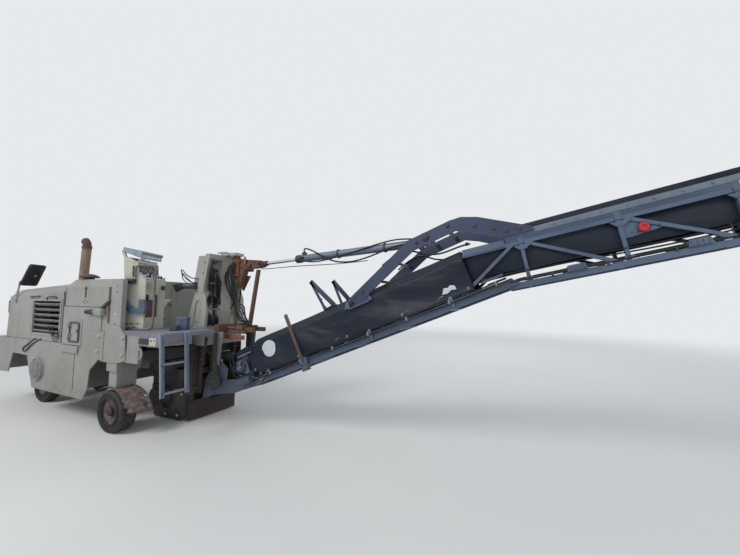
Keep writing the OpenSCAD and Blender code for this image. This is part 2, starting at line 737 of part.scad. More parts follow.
// A tray, open below, that shades the instruments
module console_lid() color("#8a929c") on_console() translate([lid_hinge[0], 0, lid_hinge[1]]) {
    for (v = [72, console_w - 102])
        cyl_y(0, 0, [v, v + 30], 40);
    for (v = [40, console_w - 70])
        cyl_y(0, 0, [v - 5, v + 35], lid_pin_d);
    for (v = [72, console_w - 102])
        side_plate(v, 30) polygon([[-18, 0], [18, -8], [40, 20], [20, 40], [-5, 20]]);
    translate([25, -5, 25]) rotate([0, lid_fall, 0]) difference() {
        union() {
            cube([lid_len, console_w + 10, 45]);
            translate([lid_len, 0, 22.5]) rotate([-90, 0, 0]) cylinder(d = 45, h = console_w + 10);
        }
        translate([12, 12, -1]) cube([lid_len - 24, console_w - 14, 34]);
    }
}

rail_d = 34;
rail_bend = 80;
// From the console's side over and down to the deck, seen in the plane of that side
rail_path = [[-160, 845], [-160, 1050], [170, 1050], [170, rail_d / 2], [-200, rail_d / 2]];
rail_v = -30;

// A tube along a path with square corners
module bent_tube(path, d, r) {
    n = len(path);
    for (i = [0 : n - 2]) {
        v = path[i + 1] - path[i];
        e = v / norm(v);
        p = path[i] + (i > 0 ? r : 0) * e;
        q = path[i + 1] - (i < n - 2 ? r : 0) * e;
        tube_between([p[0], 0, p[1]], [q[0], 0, q[1]], d);
    }
    for (i = [1 : n - 2]) {
        e0 = (path[i - 1] - path[i]) / norm(path[i - 1] - path[i]);
        e1 = (path[i + 1] - path[i]) / norm(path[i + 1] - path[i]);
        c = path[i] + r * (e0 + e1);
        start = atan2(-(e0[1] + e1[1]), -(e0[0] + e1[0])) - 45;
        translate([c[0], 0, c[1]]) rotate([90, 0, 0]) rotate([0, 0, start]) rotate_extrude(angle = 90)
            translate([r, 0]) circle(d = d);
    }
}

module handrail() color("#9a9a94") on_console() translate([0, rail_v, 0]) {
    bent_tube(rail_path, rail_d, rail_bend);
    cyl_y(rail_path[0][0], rail_path[0][1] + 15, [0, -rail_v], 26);
}

module toolbox() color("#77808a") {
    box([560, 740], [-560, -300], [deck_z, deck_z + 190]);
    box([600, 880], [-290, -110], [deck_z, deck_z + 230]);
}

mirror_xz = [-3150, 2550];
mirror_y = -820;
mirror_size = [330, 460];
mirror_lean = 16;
mirror_r = 40;

// Board with rounded corners and ribs on its back, on a bracket at the hood's side
module mirror() color("#22242a") {
    translate([mirror_xz[0], mirror_y, mirror_xz[1]]) rotate([-mirror_lean, 0, 0]) rotate([90, 0, 90]) {
        w = mirror_size[0] / 2;
        h = mirror_size[1] / 2;
        linear_extrude(36) union() {
            square([2 * w - 2 * mirror_r, 2 * h], center = true);
            square([2 * w, 2 * h - 2 * mirror_r], center = true);
            for (i = [-1, 1], k = [-1, 1])
                translate([i * (w - mirror_r), k * (h - mirror_r)]) circle(r = mirror_r);
        }
        for (i = [-1, 0, 1])
            translate([i * 90 - 8, -h + 30, 30]) cube([16, 2 * h - 60, 14]);
        cylinder(d = 70, h = 60);
    }
    side_plate(-hood_w / 2 - 20, 20) polygon([[-3300, 1990], [-3240, 1990], [-3130, 2400], [-3170, 2400]]);
    tube_between([-3140, 10 - hood_w / 2 - 20, 2380], [-3140, mirror_y, 2480], 24);
}

// Conveyor carrier

tower_w = 890;
arch_w = 150;

// Lower and upper covers, seen from the side
module tower_outline() {
    polygon([
        [372, frame_z], [372, 1503], [471, 1918], [590, 2250], [790, 2260], [850, 2150], [870, 1900], [828, 1503],
        [828, frame_z]
    ]);
    polygon([[520, 2290], [635, tower_z - 13], [tower_x1, tower_z - 13], [775, 2250], [590, 2235]]);
    rect([tower_x1 - 100, tower_x1], [tower_z - 60, mast_z1]);
}

module tower() color("#b9b7ab") difference() {
    union() {
        difference() {
            side_plate(0, tower_w) tower_outline();
            // Arched recess in the lower cover, on either side
            for (y = [-1, tower_w - 15])
                side_plate(y, 16) union() {
                    polygon([[520, 1580], [670, 1580], [745, 2000], [600, 2000]]);
                    translate([672, 2000]) circle(d = arch_w);
                }
            // Open back of the upper part
            box([tower_x1 - 130, tower_x1 + 100], [60, conv_y - 130], [2330, tower_z - 80]);
            box([tower_x1 - 130, tower_x1 + 100], [conv_y + 130, tower_w - 60], [2330, tower_z - 80]);
        }
        box([760, slew_x + 70], [conv_y - 110, conv_y + 110], [mast_z0 - 50, mast_z0]);
        box([tower_x1 - 100, slew_x + 70], [conv_y - 110, conv_y + 110], [mast_z1, mast_z1 + 50]);
    }
    translate([slew_x, conv_y, mast_z0 - 100]) cylinder(d = mast_pin_d + run_fit, h = 200);
    translate([slew_x, conv_y, mast_z1 - 20]) cylinder(d = mast_pin_d + run_fit, h = 100);
}

// Slewing mast between its two bearings
mast_z0 = 1560;
mast_z1 = tower_z + 20;
mast_pin_d = 80;

arm_w = 120;
clevis_gap = 64;
fork_y = 380;

// Top arm with its gusset, lower beams and the strut between them
module slew_outline() {
    polygon([
        [slew_x, eye_xz[1] + 110], [slew_x + 200, eye_xz[1] + 90], [eye_xz[0], eye_xz[1] + 60],
        [eye_xz[0] + 60, eye_xz[1]], [eye_xz[0], eye_xz[1] - 60], [slew_x + 260, eye_xz[1] - 90],
        [slew_x + 150, eye_xz[1] - 430], [slew_x + 60, eye_xz[1] - 330], [slew_x, eye_xz[1] - 200]
    ]);
    translate(eye_xz) circle(d = 120);
}

module slew_frame() color("#8a5a3c") {
    difference() {
        union() {
            translate([slew_x, conv_y, mast_z0]) cylinder(d = 150, h = mast_z1 - mast_z0);
            translate([slew_x, conv_y, mast_z0 - 60]) cylinder(d = mast_pin_d, h = mast_z1 - mast_z0 + 120);
            side_plate(conv_y - arm_w / 2, arm_w) slew_outline();
            for (y = [-170, 90])
                box([slew_x - 40, slew_x + 600], [conv_y + y, conv_y + y + 80], [mast_z0, mast_z0 + 70]);
            box([slew_x + 340, slew_x + 420], [conv_y - 170, conv_y + 170], [mast_z0, mast_z0 + 100]);
            box([slew_x - 40, slew_x + 60], [conv_y - fork_y - 20, conv_y + fork_y + 20], [mast_z0, mast_z0 + 120]);
            for (side = [-1, 1]) {
                box([slew_x - 40, slew_x + 60], [conv_y + side * fork_y - 20, conv_y + side * fork_y + 20],
                    [hinge_z, mast_z0 + 120]);
                cyl_y(slew_x, hinge_z, [conv_y + side * fork_y - 20, conv_y + side * fork_y + 20], 260);
            }
            side_plate(conv_y - 30, 60) bar([slew_x + 380, mast_z0 + 80], [slew_x + 540, eye_xz[1] - 90], 50);
        }
        cyl_y(slew_x, hinge_z, [conv_y - 500, conv_y + 500], foot_pin_d + run_fit);
        box([eye_xz[0] - 110, eye_xz[0] + 100], [conv_y - clevis_gap / 2, conv_y + clevis_gap / 2],
            [eye_xz[1] - 100, eye_xz[1] + 100]);
    }
    for (y = [-arm_w / 2 - 30, arm_w / 2])
        cyl_y(eye_xz[0], eye_xz[1], [conv_y + y, conv_y + y + 30], eye_pin_d + 20);
}

// Conveyor

rail_h = 100;
plate_c = 12;
post_s = [for (i = [0 : 4]) 950 + i * 830];
cover_t = 12;
conv_half = conveyor_w / 2;

module conveyor_frame() color("#55606e") on_conveyor() {
    for (side = [-1, 1]) {
        y = side > 0 ? conv_half - plate_c : -conv_half;
        side_plate(y, plate_c) polygon([
            [-300, -180], [350, sec_bottom], [neck_s, sec_bottom], [neck_s - 80, sec_bottom + rail_h],
            [760, sec_bottom + rail_h], [560, -135], [240, -60], [95, 190], [-110, 190], [-230, 110], [-380, -100]
        ]);
        // Flanges of the rail
        for (t = [sec_bottom, sec_bottom + rail_h - 10])
            box([760, neck_s - 80], side > 0 ? [conv_half - 1, conv_half + flange] : [-conv_half - flange, 1 - conv_half],
                [t, t + 10]);
        cyl_y(0, 0, side > 0 ? [conv_half, conv_half + 75] : [-conv_half - 75, -conv_half], foot_pin_d);
    }
    for (s = [500 : 740 : neck_s - 200])
        box([s, s + 60], [-conv_half + plate_c, conv_half - plate_c], [sec_bottom, sec_bottom + 40]);
    for (s = post_s, side = [-1, 1])
        box([s, s + 50], [side > 0 ? conv_half - plate_c : -conv_half, side > 0 ? conv_half : -conv_half + plate_c],
            [sec_bottom + rail_h - 1, post_top]);
    // Drive housing at the tail, and the tensioner in front of the cover
    box([520, cover_s[0] - 12], [-conv_half, -belt_w / 2 - 12], [-160, 165]);
    box([520, cover_s[0] - 12], [-conv_half, -90], [-20, 165]);
    translate([560, -conv_half - 61, -190]) rotate([0, 90, 0]) cylinder(d = 120, h = 250);
    box([640, 700], [-conv_half - 61, 1 - conv_half], [-240, -150]);
    // Rest for the transport lock, in its socket on the rail
    box(socket_s, [-conv_half - flange, 1 - conv_half], [sec_bottom - 70, sec_bottom + rail_h + 30]);
    side_plate(-cover_half - 30.2, 30) bar([1845, sec_bottom + rail_h], [1783, 518], 45);
}

flange = 42;
socket_s = [1800, 1930];
cover_s = [810, 4600];
post_top = 215;
cover_half = conv_half + 0.3 + cover_t;

chord_t = [462, 508];
truss_posts = [80, 1070, 2060];
idler_s = [500, 1590];
board_t = [560, 690];

module truss_outline() {
    rect([-150, upper_len], [-45, 20]);
    rect([-600, upper_len - 200], chord_t);
    for (s = truss_posts)
        rect([s, s + 40], [10, 470]);
    for (s = [140, 1140])
        bar([s, 480], [s + 880, 10], 38);
    // End strut, down to the lower section's rail
    bar([-10, 470], [-715, -20], 38);
    for (s = idler_s)
        rect([s, s + 190], [15, 80]);
    rect([upper_len - 240, upper_len - 20], [10, 470]);
}

module conveyor_truss() color("#55606e") on_upper() {
    for (side = [-1, 1]) {
        side_plate(side > 0 ? truss_half - 50 : -truss_half, 50) truss_outline();
        side_plate(side > 0 ? truss_half - 30 : 22 - truss_half, 8)
            polygon([[1110, 470], [1540, 300], [1160, 255], [1100, 255]]);
        // Side board on its brackets
        side_plate(side > 0 ? truss_half : -truss_half - board_w, board_w) {
            rect([-80, upper_len - 100], board_t);
            rect([-590, -79], [480, 560]);
            for (s = truss_posts)
                rect([s - 10, s + 50], [470, board_t[0] + 10]);
        }
    }
    for (s = truss_posts)
        box([s, s + 40], [50 - truss_half, truss_half - 50], [-30, 20]);
}

board_w = 10;
truss_half = conv_half - plate_c;

// Belt, as a loop over the tail and head pulleys
belt_t = 12;
pulley_d = 180;
carry_h = 255;
return_h = carry_h - pulley_d;
pulley_h = carry_h - pulley_d / 2;
tail_s = -250;
head_s = upper_len - 130;
head_st = [neck_s, sec_bottom] + rot2([head_s, pulley_h], -neck);

// Its arcs are drawn round the pulleys, so that they nowhere cut in
function belt_loop(e) = let (r = (pulley_d / 2 + e) / cos(7.5)) concat(
    [for (a = [262.5 : -15 : 97.5]) [tail_s + r * cos(a), sec_bottom + pulley_h + r * sin(a)]],
    [[neck_s + (carry_h + e) * tan(neck / 2), sec_bottom + carry_h + e]],
    [for (a = [82.5 : -15 : -82.5]) head_st + rot2([r * cos(a), r * sin(a)], -neck)],
    [[neck_s + (return_h - e) * tan(neck / 2), sec_bottom + return_h - e]]
);

module conveyor_belt() color("#1d1e20") on_conveyor() side_plate(-belt_w / 2, belt_w) difference() {
    polygon(belt_loop(belt_t));
    polygon(belt_loop(0.3));
}

module belt_pulleys() color("#44474a") {
    on_conveyor() {
        cyl_y(tail_s, sec_bottom + pulley_h, [-belt_w / 2, belt_w / 2], pulley_d);
        cyl_y(tail_s, sec_bottom + pulley_h, [-truss_half, truss_half], 50);
        for (s = post_s)
            cyl_y(s + 25, sec_bottom + carry_h - 40, [-truss_half, truss_half], 76);
    }
    on_upper() {
        for (s = idler_s)
            cyl_y(s + 95, return_h - belt_t - 31, [50 - truss_half, truss_half - 50], 60);
        cyl_y(head_s, pulley_h, [-belt_w / 2, belt_w / 2], pulley_d);
        cyl_y(head_s, pulley_h, [50 - truss_half, truss_half - 50], 50);
    }
}

cover_edge = 275;
cover_top = 395;

// Canopy over the belt, with a thickness taken off as in
module cover_form(in) intersection() {
    side_plate(-cover_half - 1, 2 * cover_half + 2) polygon([
        [cover_s[0] - in, -110 - in], [1300, -175 - in], [cover_s[1] + in, -180 - in], [cover_s[1] + in, cover_top + 20],
        [1060, cover_top + 20], [cover_s[0] + 60, cover_edge + 70], [cover_s[0] - in, cover_edge - 20]
    ]);
    translate([cover_s[0] - 5 * cover_t, 0, 0]) rotate([0, 0.5, 0]) rotate([90, 0, 90])
        linear_extrude(cover_s[1] - cover_s[0] + 10 * cover_t) polygon([
            for (p = [[-1, -400, 1], [1, -400, 1], [1, cover_edge, 1], [0.6, cover_top, 1], [-0.6, cover_top, 1],
                [-1, cover_edge, 1]]) [p[0] * (cover_half - in), p[1] - in]
        ]);
}

module belt_cover() color("#1f2124") {
    on_conveyor() difference() {
        cover_form(0);
        cover_form(cover_t);
    }
    // Skirts beside the belt on the upper section
    on_upper() for (y = [50 - truss_half, truss_half - 50 - skirt_t])
        box([-380, upper_len - 260], [y, y + skirt_t], [170, chord_t[1] - 5]);
}

skirt_t = 10;

// Near arm's outline from its foot up over the elbow and down to the truss
arm_outline = [
    [2990, 220], [2990, 300], [2880, 305], [2890, 340], [4040, 757], [4640, 757], [4790, 735], [4975, 640],
    [5480, 262], [5480, 212], [5130, 270], [4830, 500], [4660, 600], [4060, 600], [3240, 305], [3240, 220]
];
arm_bolts = [[5207, 342], [5352, 305]];

module neck_arms() color("#5c6672") on_conveyor() {
    for (side = [-1, 1]) {
        y = side > 0 ? cover_half + 0.2 : -cover_half - 30.2;
        difference() {
            union() {
                side_plate(y, 30) polygon(arm_outline);
                cyl_y(pin_st[0], pin_st[1], side > 0 ? [y, y + 50] : [y - 20, y + 30], 105);
                for (p = arm_bolts)
                    cyl_y(p[0], p[1], side > 0 ? [truss_half + board_w, y + 1] : [y + 29, -truss_half - board_w], 56);
            }
            cyl_y(pin_st[0], pin_st[1], [y - 21, y + 51], arm_pin_d + run_fit);
        }
    }
    // Cross tube between the arms
    cyl_y(4560, 680, [-cover_half - 1, cover_half + 1], 60);
}

module on_luff() translate([pin_xz[0], conv_y, pin_xz[1]]) rotate([0, 180 - luff_dir, 0]) children();

barrel_end = 2320;
piston_x = 700;

module luff_barrel() color("#5c6672") on_luff() {
    difference() {
        translate([barrel_end, 0, 0]) rotate([0, -90, 0]) cylinder(d = luff_bore + 30, h = barrel_end - 60);
        translate([barrel_end - 40, 0, 0]) rotate([0, -90, 0]) cylinder(d = luff_bore, h = barrel_end - 140);
        translate([barrel_end + 1, 0, 0]) rotate([0, -90, 0]) cylinder(d = luff_rod_d + run_fit, h = 60);
    }
    cyl_y(0, 0, [-cover_half - 55, cover_half + 55], arm_pin_d);
    box([-40, 80], [-30, 30], [-40, 40]);
}

module luff_rod() color("#c9c9c4") on_luff() difference() {
    union() {
        translate([luff_len - 30, 0, 0]) rotate([0, -90, 0]) cylinder(d = luff_rod_d, h = luff_len - 30 - piston_x);
        translate([piston_x + 60, 0, 0]) rotate([0, -90, 0]) cylinder(d = luff_bore - run_fit, h = 60);
        cyl_y(luff_len, 0, [-30, 30], 90);
    }
    cyl_y(luff_len, 0, [-31, 31], eye_bore);
}

place() {
    chassis_frame();
    engine_block();
    mid_housing();
    hatch_door();
    exhaust_stack();
    intake_cap();
    hood();
    front_axle();
    knuckle(-1);  // knuckle_left
    knuckle(1);  // knuckle_right
    front_wheel(-1);  // wheel_front_left
    front_wheel(1);  // wheel_front_right
    leg_guide(-1);  // leg_guide_left
    leg_guide(1);  // leg_guide_right
    leg_column();
    leg(-1);  // leg_left
    leg(1);  // leg_right
    fender(-1);  // fender_left
    fender(1);  // fender_right
    rear_wheel(-1);  // wheel_rear_left
    rear_wheel(1);  // wheel_rear_right
    drum_housing();
    milling_drum();
    drum_drive();
    guard(-1);  // side_plate_left
    guard(1);  // side_plate_right
    moldboard();
    rear_columns();
    deck();
    ladder();
    handrail();
    console();
    console_lid();
    toolbox();
    tower();
    slew_frame();
    conveyor_frame();
    conveyor_truss();
    conveyor_belt();
    belt_pulleys();
    belt_cover();
    neck_arms();
    luff_barrel();
    luff_rod();
    mirror();
}
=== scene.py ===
"""Looks of a wheeled cold planer milling machine: finishes, fittings, light and camera."""

import math
import random

import bmesh
import bpy
from mathutils import Matrix, Vector, noise


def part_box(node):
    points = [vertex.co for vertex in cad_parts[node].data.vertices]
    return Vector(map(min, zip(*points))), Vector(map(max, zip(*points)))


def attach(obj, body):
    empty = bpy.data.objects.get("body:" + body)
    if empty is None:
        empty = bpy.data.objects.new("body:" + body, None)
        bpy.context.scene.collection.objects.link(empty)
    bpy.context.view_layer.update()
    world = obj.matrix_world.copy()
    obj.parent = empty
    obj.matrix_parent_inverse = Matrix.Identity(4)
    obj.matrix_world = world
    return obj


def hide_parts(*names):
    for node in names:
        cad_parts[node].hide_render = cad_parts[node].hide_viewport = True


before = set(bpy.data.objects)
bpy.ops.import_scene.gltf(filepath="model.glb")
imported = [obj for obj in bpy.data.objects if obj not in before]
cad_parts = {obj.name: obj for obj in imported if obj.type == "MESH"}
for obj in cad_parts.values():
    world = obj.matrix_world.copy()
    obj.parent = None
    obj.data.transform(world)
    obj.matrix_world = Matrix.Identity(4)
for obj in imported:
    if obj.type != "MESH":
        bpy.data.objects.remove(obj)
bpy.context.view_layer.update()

# Places are in millimetres from the left rear wheel's axle, on the ground
AXLE_X = sum(corner.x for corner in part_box("wheel_rear_left")) / 2
MACHINE = Matrix.Translation((AXLE_X, 0, 0)) @ Matrix.Diagonal((0.001, 0.001, 0.001, 1))


def moved(base, place, *turns):
    """A frame at place in base, turned by each (degrees, axis) in order."""
    made = base @ Matrix.Translation(place)
    for degrees, axis in turns:
        made = made @ Matrix.Rotation(math.radians(degrees), 4, axis)
    return made


DECK_Z = 1600
HULL_Y = 1000
RAIL_Y = 331
AXLE_Z = 330
CONSOLE = moved(MACHINE, (335, -735, DECK_Z), (25, "Z"))
LOWER = moved(MACHINE, (1080, 445, 720), (-22.2, "Y"))
UPPER = moved(LOWER, (5115, 0, -315), (10.2, "Y"))
LUFF = moved(MACHINE, (4769.5, 445, 2982.8), (175.757, "Y"))
MIRROR = moved(MACHINE, (-3120, -820, 2550), (22, "Z"), (24, "Y"))
LID = moved(CONSOLE, (-400, 0, 1303), (11, "Y"))


def box_mm(node):
    """A node's lowest and highest corners, in millimetres of the machine."""
    back = MACHINE.inverted()
    return [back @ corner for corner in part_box(node)]


# Finishes

HULL_PAINT = (0.275, 0.275, 0.258)
HULL_SHADE = (0.215, 0.212, 0.194)
RUST_DARK = (0.060, 0.034, 0.026)
RUST_BROWN = (0.105, 0.055, 0.036)
RUST_ORANGE = (0.24, 0.105, 0.048)
DIRT = (0.15, 0.12, 0.09)
DUST = (0.28, 0.26, 0.23)
GRIME = (0.09, 0.08, 0.065)
BLACK = (0.014, 0.014, 0.016)


class Finish:
    """A material built up in layers, each laid over the last where its mask is 1."""

    def __init__(self, name, color, rough, metal=0.0):
        self.material = bpy.data.materials.new(name)
        self.material.use_nodes = True
        self.tree = self.material.node_tree
        self.shader = self.tree.nodes["Principled BSDF"]
        self.place = self.node("ShaderNodeTexCoord").outputs["Object"]
        self.color = (*color, 1)
        self.rough = rough
        self.normal = None
        self.shader.inputs["Metallic"].default_value = metal

    def node(self, kind, **settings):
        made = self.tree.nodes.new(kind)
        for key, value in settings.items():
            setattr(made, key, value)
        return made

    def feed(self, socket, value):
        if isinstance(value, bpy.types.NodeSocket):
            self.tree.links.new(value, socket)
        else:
            socket.default_value = value

    def math(self, operation, a, b=0.0):
        made = self.node("ShaderNodeMath", operation=operation)
        self.feed(made.inputs[0], a)
        self.feed(made.inputs[1], b)
        return made.outputs[0]

    def noise(self, scale, detail=5.0, stretch=(1, 1, 1), shift=0.0):
        move = self.node("ShaderNodeMapping")
        move.inputs["Scale"].default_value = stretch
        move.inputs["Location"].default_value = (shift, shift * 0.7, shift * 1.3)
        self.feed(move.inputs["Vector"], self.place)
        made = self.node("ShaderNodeTexNoise")
        made.inputs["Scale"].default_value = scale
        made.inputs["Detail"].default_value = detail
        made.inputs["Roughness"].default_value = 0.6
        self.feed(made.inputs["Vector"], move.outputs["Vector"])
        return made.outputs["Fac"]

    def fade(self, value, start, end, low=0.0, high=1.0):
        """low where value is below start, high where it is past end; start may be the larger."""
        made = self.node("ShaderNodeMapRange", interpolation_type="SMOOTHSTEP")
        self.feed(made.inputs["Value"], value)
        made.inputs["From Min"].default_value = start
        made.inputs["From Max"].default_value = end
        made.inputs["To Min"].default_value = low
        made.inputs["To Max"].default_value = high
        return made.outputs["Result"]

    def split(self, vector, index):
        """One of x, y and z of a vector."""
        made = self.node("ShaderNodeSeparateXYZ")
        self.feed(made.inputs[0], vector)
        return made.outputs[index]

    def axis(self, index):
        """Place along x, y or z, in metres."""
        return self.split(self.place, index)

    def upward(self):
        """1 on faces that look up."""
        return self.split(self.node("ShaderNodeNewGeometry").outputs["Normal"], 2)

    def edges(self, width):
        """1 on sharp edges, out to about width from them."""
        rounded = self.node("ShaderNodeBevel", samples=3)
        rounded.inputs["Radius"].default_value = width
        dot = self.node("ShaderNodeVectorMath", operation="DOT_PRODUCT")
        self.feed(dot.inputs[0], rounded.outputs[0])
        self.feed(dot.inputs[1], self.node("ShaderNodeNewGeometry").outputs["Normal"])
        return self.fade(dot.outputs["Value"], 0.995, 0.93)

    def around(self, center, axis_index=1):
        """Distance from an axis through center that runs along x, y or z."""
        away = self.node("ShaderNodeVectorMath", operation="SUBTRACT")
        self.feed(away.inputs[0], self.place)
        away.inputs[1].default_value = center
        flat = self.node("ShaderNodeVectorMath", operation="MULTIPLY")
        self.feed(flat.inputs[0], away.outputs[0])
        flat.inputs[1].default_value = [0 if i == axis_index else 1 for i in range(3)]
        length = self.node("ShaderNodeVectorMath", operation="LENGTH")
        self.feed(length.inputs[0], flat.outputs[0])
        return length.outputs["Value"]

    def layer(self, mask, color, rough=None):
        mix = self.node("ShaderNodeMix", data_type="RGBA")
        self.feed(mix.inputs[0], mask)
        self.feed(mix.inputs[6], self.color)
        mix.inputs[7].default_value = (*color, 1)
        self.color = mix.outputs[2]
        if rough is not None:
            blend = self.node("ShaderNodeMix", data_type="FLOAT")
            self.feed(blend.inputs[0], mask)
            self.feed(blend.inputs[2], self.rough)
            blend.inputs[3].default_value = rough
            self.rough = blend.outputs[0]

    def bump(self, height, strength, distance):
        made = self.node("ShaderNodeBump")
        made.inputs["Strength"].default_value = strength
        made.inputs["Distance"].default_value = distance
        self.feed(made.inputs["Height"], height)
        if self.normal:
            self.feed(made.inputs["Normal"], self.normal)
        self.normal = made.outputs["Normal"]

    def done(self):
        self.feed(self.shader.inputs["Base Color"], self.color)
        self.feed(self.shader.inputs["Roughness"], self.rough)
        if self.normal:
            self.feed(self.shader.inputs["Normal"], self.normal)
        return self.material


def painted(name, color, shade, rust=0.45, dirt_top=0.9, rough=0.5, streaks=0.3, chips=0.006,
        shade_and_grime_from=None):
    """Old machine paint: faded in patches, streaked by rain, dirty low down, chipped on its edges.

    Beyond the last argument, a distance in metres behind the rear axle, and inboard of the side panels, it
    turns near-black: partly oily grime, partly painted shade under the deck behind the leg."""
    f = Finish(name, color, rough)
    f.layer(f.fade(f.noise(0.9, 6, shift=3), 0.42, 0.66, 0, 0.75), shade)
    f.layer(f.fade(f.noise(16, 3, shift=9), 0.55, 0.75, 0, 0.25), shade, rough + 0.15)
    rain = f.fade(f.noise(7, 4, (1, 1, 0.06), 5), 0.53, 0.72, 0, streaks)
    f.layer(f.math("MULTIPLY", rain, f.fade(f.upward(), 0.8, 0.3)), GRIME, 0.7)
    f.layer(f.math("MULTIPLY", f.fade(f.upward(), 0.5, 0.95), f.fade(f.noise(3, 6), 0.35, 0.7, 0.05, 0.4)),
        DUST, 0.85)
    low = f.fade(f.axis(2), dirt_top, dirt_top - 0.7)
    f.layer(f.math("MULTIPLY", low, f.fade(f.noise(5, 7, shift=2), 0.38, 0.68, 0.1, 0.7)), DIRT, 0.85)
    spots = f.fade(f.noise(11, 8, shift=7), 0.74 - 0.12 * rust, 0.80 - 0.12 * rust)
    patch = f.fade(f.noise(1.3, 3, shift=11), 0.45, 0.62)
    f.layer(f.math("MULTIPLY", spots, patch), RUST_BROWN, 0.9)
    worn = f.math("MULTIPLY", f.edges(chips), f.fade(f.noise(22, 5, shift=4), 0.52, 0.60))
    f.layer(worn, RUST_DARK, 0.85)
    # Near-black behind the leg: painted shade under the deck, mixed with oily grime
    if shade_and_grime_from is not None:
        shade_grime_mask = f.fade(f.axis(0), AXLE_X + shade_and_grime_from - 0.04, AXLE_X + shade_and_grime_from + 0.06)
        shade_grime_mask = f.math("MULTIPLY", shade_grime_mask, f.fade(f.axis(1), -0.95, -0.90))
        f.layer(f.math("MULTIPLY", shade_grime_mask, f.fade(f.noise(6, 6, shift=8), 0.25, 0.5, 0.75, 1)),
            (0.030, 0.029, 0.030), 0.7)
    f.bump(f.noise(60, 3), 0.06, 0.002)
    f.bump(f.noise(1.7, 2, shift=6), 0.25, 0.01)
    return f.done()


def rusted(name, color=RUST_BROWN, bright=RUST_ORANGE, share=0.5, dark=RUST_DARK):
    f = Finish(name, color, 0.88)
    f.layer(f.fade(f.noise(2.2, 6), 0.40, 0.62, 0, 0.8), dark)
    f.layer(f.fade(f.noise(9, 8, shift=5), 0.66 - 0.2 * share, 0.72), bright)
    f.layer(f.fade(f.noise(30, 4, shift=8), 0.60, 0.72, 0, 0.4), DUST)
    f.layer(f.math("MULTIPLY", f.fade(f.upward(), 0.5, 0.9),
        f.fade(f.noise(4, 5, shift=1), 0.4, 0.7, 0, 0.5)), DIRT)
    f.bump(f.noise(45, 8), 0.35, 0.004)
    return f.done()


def oily(name, color=(0.035, 0.037, 0.040), dirt=DIRT, rusty=RUST_BROWN):
    f = Finish(name, color, 0.6, 0.2)
    f.layer(f.fade(f.noise(3.1, 7), 0.48, 0.70, 0, 0.6), dirt, 0.9)
    f.layer(f.fade(f.noise(8, 7, shift=4), 0.58, 0.72, 0, 0.7), rusty, 0.9)
    f.layer(f.fade(f.noise(1.8, 3, shift=8), 0.55, 0.68, 0, 0.7), BLACK, 0.35)
    f.bump(f.noise(38, 6), 0.3, 0.003)
    return f.done()


def rubber(name, color, dust=0.3, rough=0.7, folds=0.0):
    f = Finish(name, color, rough)
    f.shader.inputs["Specular IOR Level"].default_value = 0.25
    f.layer(f.fade(f.noise(1.1, 6), 0.42, 0.75, 0, dust), (0.036, 0.037, 0.046), 0.85)
    f.layer(f.fade(f.noise(12, 6, shift=5), 0.55, 0.80, 0, dust * 0.7), (0.08, 0.068, 0.056), 0.9)
    f.layer(f.fade(f.noise(5, 5, (1, 1, 0.2), 3), 0.58, 0.70, 0, 0.5), BLACK, 0.5)
    # Dust and painted sky light: faces that look up turn a paler, bluer grey
    dust_and_sky_light = f.math("MULTIPLY", f.fade(f.upward(), 0.35, 0.85),
        f.fade(f.noise(2.4, 6, shift=7), 0.3, 0.7, 0.15, 0.5))
    f.layer(dust_and_sky_light, (0.036, 0.039, 0.052), 0.8)
    f.bump(f.noise(24, 6, shift=2), 0.2, 0.004)
    if folds:
        slant = (0.55, 1, 1.5)
        f.bump(f.noise(1.2, 1, slant, 12), folds, 0.30)
        f.bump(f.noise(2.9, 2, slant, 6), folds * 0.5, 0.06)
    return f.done()


def wheel(name, center, rim_r):
    """Black tyre outside rim_r, dirty steel inside it."""
    f = Finish(name, (0.016, 0.017, 0.020), 0.75)
    out = f.around(center)
    f.layer(f.fade(f.noise(6, 6), 0.42, 0.75, 0, 0.4), (0.075, 0.07, 0.065), 0.9)
    scuffed = f.math("MULTIPLY", f.fade(out, 0.27, 0.33), f.fade(f.noise(40, 4, shift=3), 0.45, 0.68, 0,
        0.6))
    f.layer(scuffed, (0.11, 0.10, 0.09), 0.9)
    f.layer(f.fade(out, rim_r + 0.006, rim_r - 0.006), (0.10, 0.072, 0.06), 0.8)
    inside = f.fade(out, rim_r - 0.01, rim_r - 0.012)
    f.layer(f.math("MULTIPLY", inside, f.fade(f.noise(14, 8, shift=6), 0.45, 0.62, 0, 0.7)),
        (0.20, 0.17, 0.15), 0.9)
    f.layer(f.math("MULTIPLY", inside, f.fade(f.noise(7, 6, shift=2), 0.5, 0.66, 0, 0.8)), RUST_DARK, 0.9)
    f.bump(f.noise(50, 6), 0.25, 0.003)
    return f.done()


def chrome(name):
    f = Finish(name, (0.62, 0.62, 0.61), 0.22, 1.0)
    f.layer(f.fade(f.noise(9, 7), 0.60, 0.74, 0, 0.6), RUST_BROWN, 0.7)
    f.layer(f.fade(f.noise(3, 4, shift=3), 0.5, 0.8, 0, 0.4), DUST, 0.6)
    return f.done()


def plastic(name, color=BLACK, rough=0.5, dust=0.3, metal=0.0):
    f = Finish(name, color, rough, metal)
    f.layer(f.fade(f.noise(9, 6), 0.45, 0.75, 0, dust), (0.14, 0.13, 0.12), 0.8)
    f.bump(f.noise(120, 3), 0.08, 0.001)
    return f.done()


